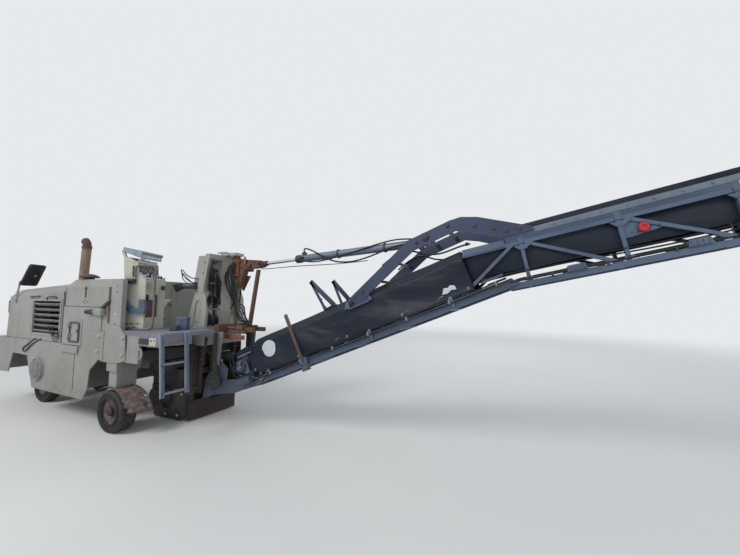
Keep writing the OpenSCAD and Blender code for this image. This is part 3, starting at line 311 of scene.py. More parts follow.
def burnt(name):
    """Exhaust steel, tan below and dark towards its tip."""
    f = Finish(name, (0.25, 0.18, 0.135), 0.85)
    f.layer(f.fade(f.noise(5, 6, (1, 1, 0.4)), 0.42, 0.66, 0, 0.7), (0.16, 0.10, 0.075))
    f.layer(f.fade(f.noise(14, 7, shift=4), 0.55, 0.70, 0, 0.6), RUST_ORANGE)
    streak = f.fade(f.noise(9, 3, (1, 1, 0.05), 2), 0.52, 0.66, 0, 0.6)
    f.layer(streak, (0.33, 0.27, 0.22))
    f.layer(f.fade(f.axis(2), 2.98, 3.06), (0.085, 0.048, 0.055))
    f.layer(f.fade(f.noise(18, 6, shift=8), 0.60, 0.72, 0, 0.5), RUST_DARK)
    f.bump(f.noise(40, 7), 0.3, 0.003)
    return f.done()


def mast(name):
    """Rusty head, strut and beams, grimy beige paint on the post, and near-black below about 1.45 m, under
    the deck.
    """
    f = Finish(name, RUST_BROWN, 0.9)
    f.layer(f.fade(f.noise(9, 8, shift=5), 0.56, 0.68, 0, 0.8), RUST_ORANGE)
    post = f.fade(f.around((AXLE_X + 1.08, 0.445, 0), 2), 0.12, 0.10)
    beige = f.math("MULTIPLY", post, f.math("MINIMUM", f.fade(f.axis(2), 2.50, 2.42),
        f.fade(f.axis(2), 1.62, 1.70)))
    f.layer(beige, (0.20, 0.19, 0.155), 0.75)
    f.layer(f.math("MULTIPLY", beige, f.fade(f.noise(4, 6, (1, 1, 0.3)), 0.40, 0.62)), (0.10, 0.09, 0.075),
        0.8)
    # Darker below about 1.45 m, under the deck
    f.layer(f.fade(f.axis(2), 1.50, 1.40), (0.052, 0.048, 0.048), 0.75)
    f.layer(f.fade(f.noise(6, 7, shift=3), 0.55, 0.66, 0, 0.9), RUST_DARK, 0.9)
    f.bump(f.noise(45, 8), 0.35, 0.004)
    return f.done()


def flaking(name):
    """Fender steel whose tan rust comes off in flakes towards the rear and leaves dark pits."""
    f = Finish(name, (0.11, 0.085, 0.083), 0.85)
    f.layer(f.fade(f.noise(4, 5), 0.42, 0.62, 0, 0.8), (0.085, 0.062, 0.062))
    rear = f.fade(f.axis(0), AXLE_X + 0.08, AXLE_X + 0.28)
    flakes = f.fade(f.noise(13, 8, shift=3), 0.46, 0.62)
    f.layer(f.math("MULTIPLY", rear, flakes), (0.21, 0.15, 0.115), 0.95)
    f.layer(f.math("MULTIPLY", rear, f.fade(f.noise(9, 6, shift=6), 0.56, 0.64)), RUST_DARK, 0.95)
    f.layer(f.fade(f.noise(48, 3, shift=9), 0.66, 0.72, 0, 0.6), (0.34, 0.28, 0.22))
    f.bump(f.noise(26, 8, shift=3), 0.7, 0.012)
    return f.done()


HULL = painted("hull paint", HULL_PAINT, HULL_SHADE)
# Chassis paint that turns near-black behind the leg: painted shade and oily grime
CHASSIS = painted("chassis paint", HULL_PAINT, HULL_SHADE, shade_and_grime_from=0.17)
TOWER_PAINT = painted("tower paint", (0.36, 0.36, 0.325), (0.29, 0.28, 0.24), rust=0.6, streaks=0.4)
CREAM = painted("console paint", (0.46, 0.445, 0.37), (0.37, 0.355, 0.29), rust=0.6, dirt_top=0.6)
BLUE = painted("conveyor paint", (0.060, 0.088, 0.145), (0.036, 0.050, 0.080), rust=0.9, rough=0.42,
    streaks=0.25)
ARM_BLUE = painted("arm paint", (0.021, 0.036, 0.088), (0.015, 0.024, 0.052), rust=0.7, rough=0.4,
    streaks=0.2)
TUBE_BLUE = painted("truss paint", (0.072, 0.108, 0.175), (0.042, 0.062, 0.105), rust=0.9, rough=0.42,
    streaks=0.25)
BARREL_BLUE = painted("cylinder paint", (0.12, 0.16, 0.22), (0.075, 0.10, 0.14), rust=0.6, rough=0.35)
BOARD_BLUE = painted("board paint", (0.13, 0.165, 0.215), (0.09, 0.11, 0.145), rust=0.8)
LADDER_BLUE = painted("ladder paint", (0.21, 0.245, 0.315), (0.14, 0.16, 0.205), rust=0.9)
LID_BLUE = painted("lid paint", (0.24, 0.29, 0.37), (0.16, 0.195, 0.25), rust=0.7)
DECKING = painted("deck paint", (0.17, 0.19, 0.245), (0.11, 0.115, 0.135), rust=0.9, rough=0.6)
RAIL_GREY = painted("rail paint", (0.135, 0.12, 0.125), (0.085, 0.07, 0.07), rust=1.2)
WHITE = painted("panel white", (0.50, 0.54, 0.58), (0.40, 0.43, 0.45), rust=0.2)
RUST = rusted("rusty steel")
MAST = mast("mast paint and rust")
POST_RUST = rusted("old post steel", (0.075, 0.050, 0.048), RUST_BROWN, 0.4, (0.032, 0.026, 0.030))
STRUT_RUST = rusted("strut steel", (0.11, 0.07, 0.058), RUST_ORANGE, 0.25, (0.065, 0.040, 0.034))
MAROON = rusted("dull maroon steel", (0.085, 0.055, 0.060), (0.15, 0.09, 0.08), 0.3, (0.05, 0.032, 0.036))
STACK = burnt("burnt exhaust steel")
FENDER = flaking("flaking fender steel")
OILY = oily("oily steel")
DARK_BROWN = oily("dirty brown steel", (0.030, 0.022, 0.018), (0.075, 0.055, 0.042), (0.06, 0.036, 0.026))
COVER = rubber("cover rubber", (0.010, 0.014, 0.026), 0.15, 0.5, folds=1.0)
BELT = rubber("belt rubber", (0.018, 0.017, 0.016), 0.25)
HOSE = rubber("hose rubber", (0.009, 0.009, 0.011), 0.1, 0.5)
CHROME = chrome("rod chrome")
PLASTIC = plastic("black plastic")
DARK_PLASTIC = plastic("dark grey plastic", (0.05, 0.045, 0.05))
ZINC = plastic("dull zinc", (0.26, 0.26, 0.26), 0.45, 0.3, 0.7)
PALE_BOLT = plastic("painted bolts", (0.40, 0.40, 0.38), 0.55, 0.25)
GREY_STEEL = plastic("grey steel", (0.20, 0.21, 0.22), 0.5, 0.4, 0.3)
GLASS = plastic("mirror glass", (0.75, 0.76, 0.78), 0.08, 0.1, 1.0)
LENS = plastic("lamp lens", (0.45, 0.46, 0.46), 0.15, 0.2)
RED = plastic("red reflector", (0.50, 0.012, 0.020), 0.25, 0.1)
RED_PLASTIC = plastic("faded red plastic", (0.36, 0.045, 0.05), 0.5, 0.3)
MAROON_CLOTH = plastic("maroon panel", (0.085, 0.045, 0.045), 0.8, 0.35)
WOOD = rusted("old plank", (0.34, 0.27, 0.18), (0.42, 0.35, 0.25), 0.5, (0.20, 0.15, 0.10))
ORANGE_RUST = rusted("orange rusty rods", (0.16, 0.07, 0.034), (0.25, 0.12, 0.055), 0.5,
    (0.08, 0.035, 0.022))

NODE_FINISH = {
    CHASSIS: ["chassis_frame"],
    HULL: ["mid_housing", "hatch_door", "hood", "leg_guide_left", "leg_guide_right",
           "leg_column", "leg_left", "leg_right"],
    TOWER_PAINT: ["tower"],
    CREAM: ["console"],
    LID_BLUE: ["console_lid", "toolbox"],
    BLUE: ["conveyor_frame"],
    ARM_BLUE: ["neck_arms"],
    BARREL_BLUE: ["luff_barrel"],
    TUBE_BLUE: ["conveyor_truss"],
    LADDER_BLUE: ["ladder"],
    RAIL_GREY: ["handrail"],
    DECKING: ["deck"],
    MAST: ["slew_frame"],
    POST_RUST: ["rear_columns", "milling_drum"],
    STACK: ["exhaust_stack"],
    MAROON: ["intake_cap"],
    FENDER: ["fender_left", "fender_right"],
    OILY: ["engine_block", "front_axle", "knuckle_left", "knuckle_right", "drum_housing", "drum_drive",
           "side_plate_left", "side_plate_right", "belt_pulleys"],
    DARK_BROWN: ["moldboard"],
    COVER: ["belt_cover"],
    BELT: ["conveyor_belt"],
    CHROME: ["luff_rod"],
    PLASTIC: ["mirror"],
}


def dress(node, material):
    """Puts one material on a whole node of the source."""
    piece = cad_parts[node]
    if not piece.material_slots:
        piece.data.materials.append(material)
    for place in piece.material_slots:
        place.material = material


def dress_nodes():
    for finish, nodes in NODE_FINISH.items():
        for node in nodes:
            dress(node, finish)
    for node in ("wheel_front_left", "wheel_front_right", "wheel_rear_left", "wheel_rear_right"):
        low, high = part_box(node)
        dress(node, wheel(node + " finish", (low + high) / 2, 0.2))


# Mesh pieces

def smooth_path(points, steps=6):
    """A curve through all the points."""
    known = [Vector(p) for p in points]
    made = []
    for i in range(len(known) - 1):
        a, b, c, d = known[max(i - 1, 0)], known[i], known[i + 1], known[min(i + 2, len(known) - 1)]
        for k in range(steps):
            t = k / steps
            made.append(0.5 * (2 * b + (c - a) * t + (2 * a - 5 * b + 4 * c - d) * t ** 2
                               + (3 * b - a - 3 * c + d) * t ** 3))
    return made + [known[-1]]


def bent_path(points, bend, steps=5):
    """Straight runs with each corner rounded over the length bend."""
    known = [Vector(p) for p in points]
    made = [known[0]]
    for before, corner, after in zip(known, known[1:], known[2:]):
        start = corner + (before - corner).normalized() * bend
        end = corner + (after - corner).normalized() * bend
        for k in range(steps + 1):
            t = k / steps
            made.append(start * (1 - t) ** 2 + corner * 2 * t * (1 - t) + end * t ** 2)
    return made + [known[-1]]


SHARP_ANGLE = math.radians(35)


def made_piece(name, mesh, base, material, sharp=None):
    """The object made of a mesh drawn in millimetres of the frame base."""
    data = bpy.data.meshes.new(name)
    mesh.to_mesh(data)
    mesh.free()
    data.transform(base)
    data.shade_smooth()
    if sharp:
        data.set_sharp_from_angle(angle=sharp)
    data.materials.append(material)
    piece = bpy.data.objects.new(name, data)
    bpy.context.scene.collection.objects.link(piece)
    return piece


def skin(name, rows, base, material, body, thickness, torn=()):
    """A thin sheet through rows of points, with a hole at each (row, column) that is torn."""
    mesh = bmesh.new()
    grid = [[mesh.verts.new(point) for point in row] for row in rows]
    for i in range(len(grid) - 1):
        for j in range(len(grid[0]) - 1):
            if (i, j) not in torn:
                mesh.faces.new((grid[i][j], grid[i + 1][j], grid[i + 1][j + 1], grid[i][j + 1]))
    piece = made_piece(name, mesh, base, material)
    thick = piece.modifiers.new("thickness", "SOLIDIFY")
    thick.thickness = thickness
    thick.offset = -1
    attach(piece, body)
    return piece


class Shape:
    """One piece of mesh, drawn in millimetres of a frame such as the conveyor's."""

    def __init__(self, base=MACHINE):
        self.base = base
        self.mesh = bmesh.new()

    def soften(self, verts, width, steps=2):
        """Rounds the sharp edges between verts."""
        kept = set(verts)
        edges = [e for e in {e for v in kept for e in v.link_edges}
            if e.verts[0] in kept and e.verts[1] in kept and e.calc_face_angle(0) > 0.5]
        if width and edges:
            bmesh.ops.bevel(self.mesh, geom=edges, offset=width, segments=steps, profile=0.6,
                affect="EDGES", clamp_overlap=True)

    def box(self, x, y, z, rounded=4):
        verts = bmesh.ops.create_cube(self.mesh, size=1)["verts"]
        for v in verts:
            v.co = Vector([low + (c + 0.5) * (high - low) for c, (low, high) in zip(v.co, (x, y, z))])
        self.soften(verts, rounded)
        return self

    def rod(self, start, end, d, sides=18, rounded=2, tip=None):
        """A round bar; tip is its diameter at the end where it tapers."""
        start, end = Vector(start), Vector(end)
        along = end - start
        turn = along.to_track_quat("Z", "Y").to_matrix().to_4x4()
        verts = bmesh.ops.create_cone(
            self.mesh, cap_ends=True, segments=sides, radius1=d / 2, radius2=(tip or d) / 2,
            depth=along.length, matrix=Matrix.Translation((start + end) / 2) @ turn)["verts"]
        self.soften(verts, rounded)
        return self

    def tube(self, points, d, bend=None, sides=10, steps=6):
        path = bent_path(points, bend) if bend else smooth_path(points, steps)
        side, rings = None, []
        for i, place in enumerate(path):
            ahead = (path[min(i + 1, len(path) - 1)] - path[max(i - 1, 0)]).normalized()
            side = ahead.orthogonal() if side is None else side - ahead * side.dot(ahead)
            side.normalize()
            up = ahead.cross(side)
            rings.append([self.mesh.verts.new(place + (side * math.cos(a) + up * math.sin(a)) * d / 2)
                for a in (2 * math.pi * k / sides for k in range(sides))])
        for a, b in zip(rings, rings[1:]):
            for k in range(sides):
                self.mesh.faces.new((a[k], a[k - 1], b[k - 1], b[k]))
        self.mesh.faces.new(rings[0])
        self.mesh.faces.new(rings[-1][::-1])
        return self

    def plate(self, outline, axis, low, high, rounded=3):
        """An outline in the plane across axis, from low to high along it."""
        def corner(p, depth):
            return {"x": (depth, *p), "y": (p[0], depth, p[1]), "z": (*p, depth)}[axis]
        face = self.mesh.faces.new([self.mesh.verts.new(corner(p, low)) for p in outline])
        lifted = bmesh.ops.extrude_face_region(self.mesh, geom=[face])["geom"]
        top = [v for v in lifted if isinstance(v, bmesh.types.BMVert)]
        shift = Vector(corner((0, 0), high - low))
        for v in top:
            v.co += shift
        self.soften([*face.verts, *top], rounded)
        return self

    def lathe(self, profile, place, toward=(0, -1, 0), sides=28):
        """A profile of (radius, height) turned about the line from place toward a direction."""
        turn = Matrix.Translation(place) @ Vector(toward).to_track_quat("Z", "Y").to_matrix().to_4x4()
        rings = []
        for r, h in profile:
            count = sides if r else 1
            rings.append([self.mesh.verts.new(turn @ Vector((r * math.cos(a), r * math.sin(a), h)))
                for a in (2 * math.pi * k / sides for k in range(count))])
        for a, b in zip(rings, rings[1:]):
            for k in range(sides):
                ring = [a[k % len(a)], a[k - 1] if len(a) > 1 else None, b[k - 1] if len(b) > 1 else None,
                        b[k % len(b)]]
                self.mesh.faces.new([v for v in ring if v is not None])
        return self

    def bolt(self, place, toward, d):
        """A hexagon head on its washer."""
        place, toward = Vector(place), Vector(toward).normalized()
        self.lathe([(0, 0), (d * 0.66, 0), (d * 0.66, d * 0.10), (d * 0.60, d * 0.14), (0, d * 0.14)],
            place, toward, 16)
        self.rod(place + toward * d * 0.12, place + toward * d * 0.62, d, 6, d * 0.06)
        return self

    def bolts(self, places, toward, d):
        for place in places:
            self.bolt(place, toward, d)
        return self

    def done(self, name, material, body):
        bmesh.ops.recalc_face_normals(self.mesh, faces=self.mesh.faces)
        piece = made_piece(name, self.mesh, self.base, material, SHARP_ANGLE)
        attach(piece, body)
        return piece


# The left and the right side, and the way out of each
SIDES = (-1, 1)
OUT = {-1: (0, -1, 0), 1: (0, 1, 0)}


def span(side, a, b):
    """From a to b out from the middle, on the left (-1) or the right (1)."""
    return sorted((side * a, side * b))


def ringed(center, r, count, start=0.0):
    """Points of (x, z) evenly round center."""
    return [(center[0] + r * math.cos(start + 2 * math.pi * k / count),
        center[1] + r * math.sin(start + 2 * math.pi * k / count)) for k in range(count)]


# Hood

def hood_fittings():
    handles = Shape()
    rim = Shape()
    lamps = Shape()
    lenses = Shape()
    for side in SIDES:
        for path in (
            [(-2645, -4, 2096), (-2638, 28, 2102), (-2500, 34, 2114), (-2362, 29, 2121), (-2352, -4, 2122)],
            [(-2073, -4, 2064), (-2062, 28, 2074), (-1990, 36, 2106), (-1900, 38, 2120), (-1800, 34, 2118),
             (-1758, 26, 2104), (-1752, -4, 2098)],
        ):
            handles.tube([(x, side * (980 + out), z) for x, out, z in path], 22)
        rim.bolts([(x, side * 992, z) for z in (1425, 2055) for x in (-2535, -2230, -1930, -1625)],
            OUT[side], 17)
        rim.bolts([(x, side * 992, z) for x in (-2570, -1590) for z in (1560, 1740, 1920)], OUT[side], 17)
        lamps.box((-3636, -3512), span(side, 800, 962), (1775, 2036), 22)
        lenses.box((-3642, -3630), span(side, 818, 944), (1796, 2015), 12)
    handles.done("hood_handles", PLASTIC, "hood")
    rim.bolts([(-3320, -HULL_Y, 2020), (-3240, -HULL_Y, 2200)], OUT[-1], 18)
    rim.done("grille_bolts", PALE_BOLT, "hood")
    lamps.done("hood_lamps", DARK_PLASTIC, "hood")
    lenses.done("lamp_lenses", LENS, "hood")
    # Black seal strip along the hood's rear seam, which also paints the shade in the gap there
    gap_shade = Shape()
    for side in SIDES:
        gap_shade.box((-1530, -1446), span(side, 979, 985), (1318, 2212), 2)
        gap_shade.tube([(-1455, side * 976, 2214), (-1455, side * 842, 2358)], 14, bend=1)
    gap_shade.tube([(-1455, -842, 2358), (-1455, 842, 2358)], 14, bend=1)
    gap_shade.done("hood_gap_shade", PLASTIC, "hood")
    (Shape()
     .tube([(-2393, -968, 1345), (-2410, -1000, 1318), (-2620, -1014, 1205), (-2752, -1014, 1140),
         (-2735, -1016, 1085), (-2650, -1014, 1096), (-2430, -1014, 1230), (-2225, -1002, 1318),
         (-2205, -968, 1345)], 20)
     .done("hood_cable", HOSE, "hood"))
    wires = Shape()
    for a, b, low, d in ((-1985, -1570, 1320, 13), (-1905, -1590, 1395, 10), (-1850, -1610, 1360, 9)):
        wires.tube([(a, -955, 1600), (a + 30, -996, 1560), ((a + b) / 2 - 40, -1003, low + 130),
            ((a + b) / 2 + 70, -1004, low + 12), (b - 20, -1003, low + 40), (b, -1000, low + 95),
            (b - 10, -992, low + 128)], d, sides=8)
    wires.box((-1800, -1755), (-1016, -994), (1436, 1462), 6)
    wires.done("grille_wires", HOSE, "hood")
    mirror()
    stack_and_cap()


def mirror():
    """The board turned as in the photograph, on its post at the hood's side."""
    Shape(MIRROR).box((-5, -1), (-146, 146), (-212, 212), 1.5).done("mirror_glass", GLASS, "hood")
    board = Shape(MIRROR)
    corners = ((-125, 190, 90), (-125, -190, 180), (125, -190, 270), (125, 190, 0))
    outline = [(y + 40 * math.cos(math.radians(a + k * 15)), z + 40 * math.sin(math.radians(a + k * 15)))
        for y, z, a in corners for k in range(7)]
    board.plate(outline, "x", 0, 34, 5)
    for y in (-100, -50, 0, 50, 100):
        board.box((33, 46), (y - 7, y + 7), (-205, 205), 3)
    for z in (-205, 205):
        board.box((33, 44), (-110, 110), (z - 6, z + 6), 3)
    board.lathe([(0, 0), (36, 0), (34, 22), (28, 28), (0, 28)], (34, 0, 0), (1, 0, 0), 26)
    board = board.done("mirror_board", PLASTIC, "hood")
    Shape(MIRROR).bolt((60, 0, 0), (1, 0, 0), 38).done("mirror_nut", ZINC, "hood")
    post = (Shape()
            .plate([(-3300, 1990), (-3240, 1990), (-3130, 2400), (-3170, 2400)], "y", -HULL_Y, -979, 5)
            .bolts([(-3266, -HULL_Y, 2040), (-3240, -HULL_Y, 2140)], OUT[-1], 22)
            .done("mirror_post", HULL, "hood"))
    arm = (Shape()
           .tube([(-3148, -986, 2330), (-3144, -990, 2400), (-3138, -930, 2452), (-3122, -830, 2510),
               (-3100, -812, 2535)], 26)
           .done("mirror_arm", PLASTIC, "hood"))
    for piece in (board, post, arm):
        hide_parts("mirror")


def stack_and_cap():
    """The straight pipe with its turned tip, and the intake's flat cap."""
    low = box_mm("exhaust_stack")[0].z
    base = moved(MACHINE, (-1627, -660, low), (4, "Y"))
    pipe = Shape(base)
    pipe.lathe([(0, 4), (92, 8), (92, 26), (79, 34), (75, 60), (75, 690), (80, 694), (80, 742), (71, 746),
        (0, 746)], (0, 0, 0), (0, 0, 1), 36)
    path = [Vector((-100 + 100 * math.cos(math.radians(a)), 0, 735 + 100 * math.sin(math.radians(a))))
            for a in range(-8, 71, 6)]
    pipe.tube(path, 138, sides=26, steps=1)
    end = path[-1] - path[-2]
    pipe.lathe([(69, -3), (72, 2), (69, 9), (60, 9), (58, -30), (0, -32)], path[-1], end, 30)
    pipe = pipe.done("exhaust_pipe", STACK, "hood")
    mouth = (Shape(base)
             .lathe([(0, 3), (57, 3), (57, 5), (0, 5)], path[-1], end, 26)
             .done("exhaust_mouth", PLASTIC, "hood"))
    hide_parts("exhaust_stack")
    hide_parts("exhaust_stack")
    cap = (Shape()
           .lathe([(0, -4), (86, 0), (76, 8), (76, 34), (150, 38), (154, 46), (150, 54), (118, 82),
               (60, 100), (20, 108), (0, 109)], (-1215, -760, 2430), (0, 0, 1), 40)
           .done("intake_top", MAROON, "chassis"))
    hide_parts("intake_cap")


# Housing behind the hood

def housing_fittings():
    seam_lines_and_shade = Shape()
    for side in SIDES:
        # Along z 1955 to 1962: a seam, and painted shade at the step where the lower panel stands out
        seam_lines_and_shade.box((-1428, -318), span(side, 997, 1004), (1955, 1962), 1)
        seam_lines_and_shade.box((-1024, -1017), span(side, 997, 1004), (530, 1165), 1)
        seam_lines_and_shade.box((-1424, -1418), span(side, 997, 1003), (1965, 2285), 1)
    seam_lines_and_shade.done("panel_seams_and_shade", PLASTIC, "chassis")
    (Shape()
     .box((-820, -801), (-1012, -998), (2110, 2294), 4)
     .bolts([(x, -HULL_Y, z) for x, z in ((-786, 2262), (-835, 2262), (-817, 2074), (-860, 2040),
         (-746, 2042), (-812, 2008))], OUT[-1], 15)
     .bolts([(-786, -983, 2305), (-842, -983, 2305), (-812, -945, 2343)], (0, -0.7, 0.7), 15)
     .done("clamp_bar", POST_RUST, "chassis"))
    (Shape()
     .bolts([(-295, -1024, 1496), (-319, -1024, 1255), (309, -1014, 1499), (304, -1014, 1239)], OUT[-1], 46)
     .bolts([(-1020, -HULL_Y, 1180), (-933, -HULL_Y, 538), (-1320, -HULL_Y, 560), (-1330, -HULL_Y, 900)],
         OUT[-1], 30)
     .bolts([(-1020, HULL_Y, 1180), (-933, HULL_Y, 538), (-319, HULL_Y, 1255), (304, HULL_Y, 1239)], OUT[1],
         30)
     .done("guide_bolts", PALE_BOLT, "chassis"))
    (Shape()
     .plate([(-706, 1562), (-187, 1572), (-187, 1095), (-330, 1127), (-706, 1290)], "y", -1024, -HULL_Y, 6)
     .done("guide_step", HULL, "chassis"))
    (Shape()
     .plate([(340, 1562), (640, 1562), (612, 1142), (263, 1158)], "y", -986, -974, 3)
     .lathe([(0, 0), (92, 0), (92, 14), (84, 22), (70, 22), (66, 8), (0, 8)], (648, -974, 1278))
     .done("step_bracket", HULL, "chassis"))
    face = box_mm("leg_column")[0].y
    (Shape()
     .box((5, 60), (face - 3, face + 1), (1848, 1864), 1.5)
     .done("column_mark", WHITE, "chassis"))
    (Shape()
     .bolts([(64, face, 2303), (61, face, 2208), (52, face, 1702)], OUT[-1], 20)
     .done("column_bolts", GREY_STEEL, "chassis"))
    Shape().box((-158, -104), (-1004, -960), (1712, 2290), 3).done("gap_strip", RUST, "chassis")
    (Shape()
     .box((-402, -188), (-1092, -1004), (1822, 1940), 34)
     .rod((-405, -1052, 1877), (-380, -1052, 1877), 98, 24, 6)
     .done("pipe_fairing", HULL, "chassis"))
    (Shape()
     .lathe([(22, -250), (30, -250), (30, 0), (37, 4), (37, 26), (30, 30), (30, 44), (37, 48), (37, 70),
         (30, 76), (30, 120), (36, 124), (36, 150), (22, 150), (22, -250)], (-510, -1052, 1877), (-1, 0, 0))
     .done("pipe_stub", POST_RUST, "chassis"))
    (Shape()
     .tube([(-330, -985, 1925), (-300, -1022, 1946), (-221, -1026, 1980), (-146, -1024, 2030),
         (-112, -1010, 2066), (-96, -960, 2092)], 40)
     .tube([(-320, -985, 1965), (-262, -1016, 1992), (-196, -1018, 2028), (-130, -1004, 2075),
         (-100, -960, 2105)], 22)
     .done("gap_hoses", DARK_PLASTIC, "chassis"))


def hatch_fittings():
    face = -1020
    gasket = Shape()
    inner = [(-1184, 1362), (-894, 1362), (-894, 1678), (-1184, 1678)]
    gasket.tube([(x, face - 3, z) for x, z in [*inner, inner[0], (inner[0][0] + 40, inner[0][1])]], 20,
        bend=34)
    gasket.plate([(-932, 1376), (-888, 1376), (-888, 1664), (-932, 1664)], "y", face - 9, face, 4)
    gasket.done("hatch_gasket", PLASTIC, "hatch")
    (Shape()
     .lathe([(0, 0), (22, 0), (22, 5), (12, 8), (12, 20), (0, 20)], (-948, face + 7, 1545))
     .box((-956, -940), (face - 22, face - 8), (1512, 1578), 5)
     .done("hatch_latch", ZINC, "hatch"))


def hull_fittings():
    disc = Shape()
    for side in SIDES:
        disc.bolts([(x, side * 1050, z) for x, z in ringed((-2184, 800), 182, 8, 0.3)], OUT[side], 18)
        disc.bolts([(-3560, side * HULL_Y, 1180), (-3100, side * HULL_Y, 1240),
            (-1560, side * HULL_Y, 1240)], OUT[side], 20)
    disc.done("disc_bolts", PALE_BOLT, "chassis")
    screen = Shape()
    for side in SIDES:
        screen.lathe([(0, 0), (166, 0), (166, 5), (160, 8), (0, 8)], (-2184, side * 1050, 800), OUT[side],
            40)
        for k in range(-6, 7):
            half = math.sqrt(158 ** 2 - (k * 24) ** 2)
            screen.box((-2184 - half, -2184 + half), span(side, 1057, 1061), (796 + 24 * k, 804 + 24 * k),
                1)
    screen.done("disc_screens", GREY_STEEL, "chassis")


# Deck, ladder and console

def deck_fittings():
    (Shape()
     .box((640, 1149), (-997, -985), (1410, 1541), 3)
     .box((1138, 1149), (-997, -470), (1436, 1541), 3)
     .done("deck_skirt", DECKING, "chassis"))
    # Black plate for the recess in the deck skirt: painted shade inside it
    Shape().box((664, 897), (-1003, -995), (1430, 1516), 6).done("deck_recess_shade", PLASTIC, "chassis")
    (Shape()
     .plate([(906, 1412), (1062, 1418), (1066, 1534), (906, 1534)], "y", -1006, -995, 4)
     .done("deck_corner_plate", CREAM, "chassis"))
    (Shape()
     .box((932, 982), (-1008.5, -1004), (1482, 1500), 3)
     .bolt((1030, -1006, 1500), OUT[-1], 16)
     .done("deck_slot", PLASTIC, "chassis"))
    (Shape()
     .plate([(655, 1396), (760, 1402), (905, 1392), (1128, 1400), (1130, 1432), (905, 1430), (655, 1434)],
         "y", -990, -955, 4)
     .plate([(-955, 1412), (-830, 1420), (-700, 1409), (-560, 1420), (-470, 1414), (-470, 1440),
         (-955, 1442)], "x", 1110, 1158, 4)
     .done("deck_plank", WOOD, "chassis"))
    (Shape()
     .box((1149, 1158), (-955, -565), (1450, 1524), 3)
     .bolts([(1158, y, 1487) for y in (-925, -805, -690, -590)], (1, 0, 0), 17)
     .done("deck_grip_strip", GREY_STEEL, "chassis"))
    ladder()
    toolbox()


def ladder():
    """Channel rails and two rungs, leaning out towards the foot."""
    base = moved(MACHINE, (1155.6, -1020, 1540), (-5, "Y"))
    made = Shape(base)
    for y in (0, 400):
        made.box((0, 7), (y, y + 60), (-850, 60), 2)
        for edge in (y, y + 53):
            made.box((5, 30), (edge, edge + 7), (-850, 60), 2)
    for z in (-795, -385):
        made.box((-14, 38), (30, 430), (z - 14, z - 8), 2)
        for x in (-14, 33):
            made.box((x, x + 5), (30, 430), (z - 14, z + 14), 2)
        for k in range(9):
            made.box((-9, 34), (66 + k * 38, 74 + k * 38), (z - 10, z + 16), 2)
    made = made.done("ladder_channels", LADDER_BLUE, "chassis")
    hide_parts("ladder")
    (Shape(base)
     .bolts([(7, y, z) for y in (30, 430) for z in (28, -22)], (1, 0, 0), 18)
     .done("ladder_bolts", GREY_STEEL, "chassis"))


def toolbox():
    """A lidded box and a smaller one beside it, turned on the deck."""
    made = Shape(moved(MACHINE, (682, -428, DECK_Z), (30, "Z")))
    made.box((0, 176), (0, 150), (0, 172), 8)
    made.box((-5, 181), (-5, 155), (166, 210), 10)
    made.box((62, 114), (-12, -4), (140, 178), 4)
    small = Shape(moved(MACHINE, (775, -600, DECK_Z), (30, "Z")))
    small.box((0, 110), (0, 140), (0, 66), 6)
    small.box((-4, 114), (-4, 144), (60, 80), 6)
    for piece in (made.done("toolbox_large", TUBE_BLUE, "chassis"),
            small.done("toolbox_small", DARK_PLASTIC, "chassis")):
        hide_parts("toolbox")


